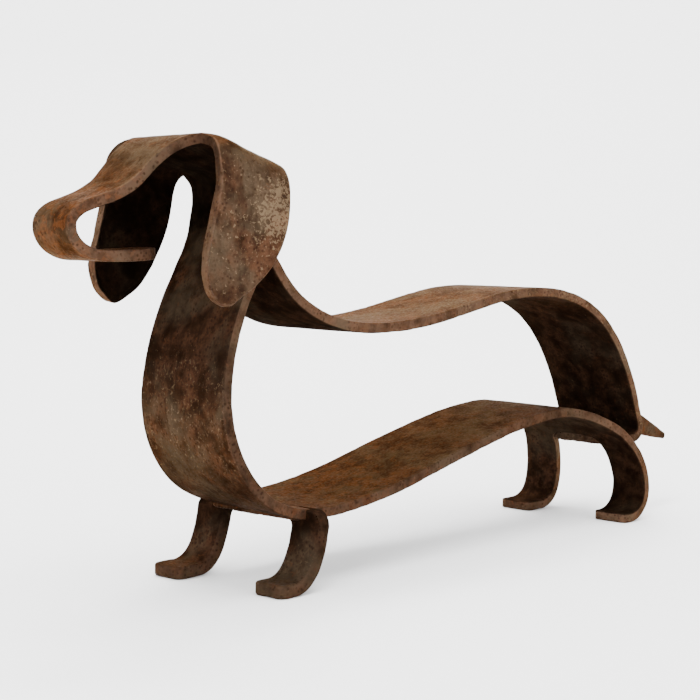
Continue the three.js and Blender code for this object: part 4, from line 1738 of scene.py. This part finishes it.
@dataclass
class Joints:
    """Where the plates are welded together."""

    body: BodyPlate
    back: BackBar
    legs: FrontLegs
    tail: Tail
    thin: int = 12
    inset: float = 2.0
    leg_inset: float = 3.0
    nape_low: float = 150.0
    bar_run: float = 30.0
    chest_top: float = 60.0
    chest_rear: float = 200.0
    leg_run: float = 12.0
    rump_front: float = 440.0

    def neck(self) -> list[Array]:
        """Both sides of the back bar's end on the back of the neck.

        Returns:
            One line of points for each bead.
        """
        nape = self.body.trunk.offset(PLATE / 2.0)[::self.thin]
        nape = nape[nape[:, 1] > self.nape_low]
        start = self.back.path.distance < self.bar_run
        faces = [self.back.path.offset(rise)[start] for rise in (PLATE / 2.0, -PLATE / 2.0)]
        return [cross_line(meeting(face, nape), self.back.half - self.inset, 0.0) for face in faces]

    def rump(self) -> list[Array]:
        """Both sides of the back bar's curled end on the back of the hips.

        Returns:
            One line of points for each bead.
        """
        hips = np.concatenate([path.offset(PLATE / 2.0) for path in (self.body.haunch, self.body.shin)])
        hips = hips[::self.thin]
        tucked = self.back.path.distance > self.back.path.length - self.bar_run
        skew = float(self.body.shin.skew[0])
        faces = [self.back.path.offset(rise)[tucked] for rise in (PLATE / 2.0, -PLATE / 2.0)]
        return [cross_line(meeting(face, hips), self.back.half - self.inset, skew) for face in faces]

    def front(self) -> list[Array]:
        """Front and back of the leg plate under the belly.

        Returns:
            One line of points for each bead.
        """
        chest = self.body.trunk.offset(-PLATE / 2.0)[::self.thin]
        chest = chest[(chest[:, 1] < self.chest_top) & (chest[:, 0] < self.chest_rear)]
        top = self.legs.path.distance < self.leg_run
        faces = [self.legs.path.offset(rise)[top] for rise in (LEG_PLATE / 2.0, -LEG_PLATE / 2.0)]
        half = BAR_HALF - self.leg_inset
        return [cross_line(meeting(face, chest), half, self.legs.skew) for face in faces]

    def root(self) -> list[Array]:
        """Both sides of the tail on the back of the rump.

        Returns:
            One line of points for each bead.
        """
        rump = self.back.path.offset(PLATE / 2.0)
        top, foot = self.tail.top_root[1], self.tail.foot_root[1]
        line = rump[(rump[:, 1] < top) & (rump[:, 1] > foot) & (rump[:, 0] > self.rump_front)]
        side = self.tail.plate / 2.0
        return [np.stack([line[:, 0], np.full(len(line), y), line[:, 1]], axis=-1) for y in (-side, side)]


@dataclass(frozen=True)
class Lamp:
    """A square soft light, in metres and watts, that looks at a point."""

    name: str
    place: Place
    side: float
    power: float
    aim: Place

    def build(self) -> None:
        """Makes the light."""
        data = bpy.data.lights.new(self.name, "AREA")
        data.size, data.energy = self.side, self.power
        made = bpy.data.objects.new(self.name, data)
        made.location = self.place
        made.rotation_euler = (Vector(self.aim) - Vector(self.place)).to_track_quat("-Z", "Y").to_euler()
        bpy.context.scene.collection.objects.link(made)


@dataclass
class Studio:
    """Pale floor that curves up all round, soft lights, and the camera at the photograph's angle."""

    camera_place: Place = (-0.69455, -0.67000, 0.20743)
    camera_pitch: float = 4.717
    camera_turn: float = 43.48
    lens: float = 77.14
    sensor: float = 36.0
    clip: Span = (0.01, 50.0)
    floor_reach: float = 3.2
    wall_height: float = 4.2
    curve: float = 1.6
    centre_reach: float = 0.02
    flat_rings: int = 12
    curve_rings: int = 16
    round_steps: int = 96
    floor_colour: Colour = (0.97, 0.97, 0.97)
    floor_roughness: float = 0.9
    floor_gloss: float = 0.1
    sky: float = 1.4
    lamps: tuple[Lamp, ...] = (
        Lamp("overhead", (-0.3, -0.2, 2.4), 2.2, 112.0, (0.0, 0.0, 0.1)),
        Lamp("front_left", (-2.1, -0.9, 1.5), 1.3, 30.0, (-0.1, 0.0, 0.12)),
        Lamp("rear", (1.2, 1.9, 1.6), 1.3, 12.0, (0.0, 0.0, 0.12)),
        Lamp("wall", (0.8, 0.9, 2.6), 1.0, 90.0, (2.0, 2.1, 0.3)),
    )

    def camera(self) -> None:
        """Makes the camera."""
        data = bpy.data.cameras.new("camera")
        data.lens, data.sensor_width = self.lens, self.sensor
        data.clip_start, data.clip_end = self.clip
        made = bpy.data.objects.new("camera", data)
        made.location = self.camera_place
        turn = (math.radians(90.0 - self.camera_pitch), 0.0, math.radians(-self.camera_turn))
        made.rotation_euler = Euler(turn, "XYZ")
        bpy.context.scene.collection.objects.link(made)
        bpy.context.scene.camera = made

    def floor(self) -> None:
        """Round floor: a disc, a quarter round and a wall, turned about the z axis."""
        flat = np.linspace(self.centre_reach, self.floor_reach - self.curve, self.flat_rings)
        bend = np.linspace(0.0, math.pi / 2.0, self.curve_rings)[1:]
        radius = [flat, flat[-1] + self.curve * np.sin(bend), [self.floor_reach]]
        height = [np.zeros(len(flat)), self.curve * (1.0 - np.cos(bend)), [self.wall_height]]
        radius, height = np.concatenate(radius), np.concatenate(height)
        turn = np.arange(self.round_steps) * 2.0 * math.pi / self.round_steps
        level = np.broadcast_to(height[:, None], (len(radius), len(turn)))
        points = np.stack([radius[:, None] * np.cos(turn), radius[:, None] * np.sin(turn), level], axis=-1)
        ids = np.arange(points.size // 3).reshape(level.shape)
        after = np.roll(ids, -1, axis=1)
        faces = np.stack([ids[:-1], ids[1:], after[1:], after[:-1]], axis=-1).reshape(-1, 4)
        made = mesh_object("floor", points.reshape(-1, 3), faces, {})
        middle = bpy.data.meshes.new("floor_middle")
        middle.from_pydata(points[0].tolist(), [], [list(range(self.round_steps))])
        disc = bpy.data.objects.new("floor_middle", middle)
        bpy.context.scene.collection.objects.link(disc)
        material = bpy.data.materials.new("pale_floor")
        material.use_nodes = True
        skin = material.node_tree.nodes["Principled BSDF"]
        skin.inputs["Base Color"].default_value = solid_colour(self.floor_colour)
        skin.inputs["Roughness"].default_value = self.floor_roughness
        skin.inputs["Specular IOR Level"].default_value = self.floor_gloss
        for part in (made, disc):
            part.data.materials.append(material)
            part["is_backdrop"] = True

    def build(self) -> None:
        """Makes the floor, the lights, the sky and the camera."""
        self.camera()
        self.floor()
        for lamp in self.lamps:
            lamp.build()
        world = bpy.data.worlds.new("studio")
        world.use_nodes = True
        backdrop = world.node_tree.nodes["Background"]
        backdrop.inputs["Color"].default_value = (1.0, 1.0, 1.0, 1.0)
        backdrop.inputs["Strength"].default_value = self.sky
        bpy.context.scene.world = world
        LOG.info("studio: camera, floor and %d lights", len(self.lamps))


def corners(box: tuple[Vector, Vector]) -> list[list[float]]:
    """Lowest and highest corner as plain lists."""
    return [list(corner) for corner in box]


def main() -> None:
    """Builds the studio and every piece of the figure."""
    logging.basicConfig(level=logging.INFO, format="%(message)s")
    Studio().build()
    body, back, legs, tail = BodyPlate(), BackBar(), FrontLegs(), Tail()
    ears = [Ear(-1, fold_front=27.0, fold_rear=12.0, swell=0.0, forward=0.0, lowest=164.9),
            Ear(1, fold_front=8.0, fold_rear=42.0, swell=5.5, forward=0.7, lowest=163.4)]
    body_sheet = body.sheet(ears)
    shop = Workshop.fitted(body_sheet, "body_plate")
    plates = [
        ("body_plate_skin", "body_plate", body_sheet, body.fields, Rust("body_patina"), Slot.BODY),
        ("back_bar_skin", "back_bar", back.sheet(float(body.shin.skew[0])), back.fields,
         Rust("back_patina"), Slot.BACK),
        ("front_legs_skin", "front_legs", legs.sheet(), legs.fields, Rust("leg_patina"), Slot.LEG),
        ("tail_skin", "tail", tail.sheet(), tail.fields, Rust("tail_patina"), Slot.TAIL),
    ]
    for name, node, sheet, fields, finish, slot in plates:
        skin, faces = shop.surface(sheet)
        made = shop.piece(name, skin, faces, fields(skin), finish, slot)
        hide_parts(node)
    joints = Joints(body, back, legs, tail)
    beads = [
        ("neck_welds", joints.neck(), Slot.BACK), ("rump_welds", joints.rump(), Slot.BACK),
        ("front_leg_welds", joints.front(), Slot.LEG), ("tail_welds", joints.root(), Slot.TAIL),
    ]
    weld = Weld()
    for name, lines, slot in beads:
        skin, faces = weld.surface(lines)
        shop.piece(name, skin, faces, weld.fields(skin), Rust(name + "_scale"), slot)
    {"cad": corners(CAD_BOX), "visual": corners(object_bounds())}


if __name__ == "__main__":
    main()
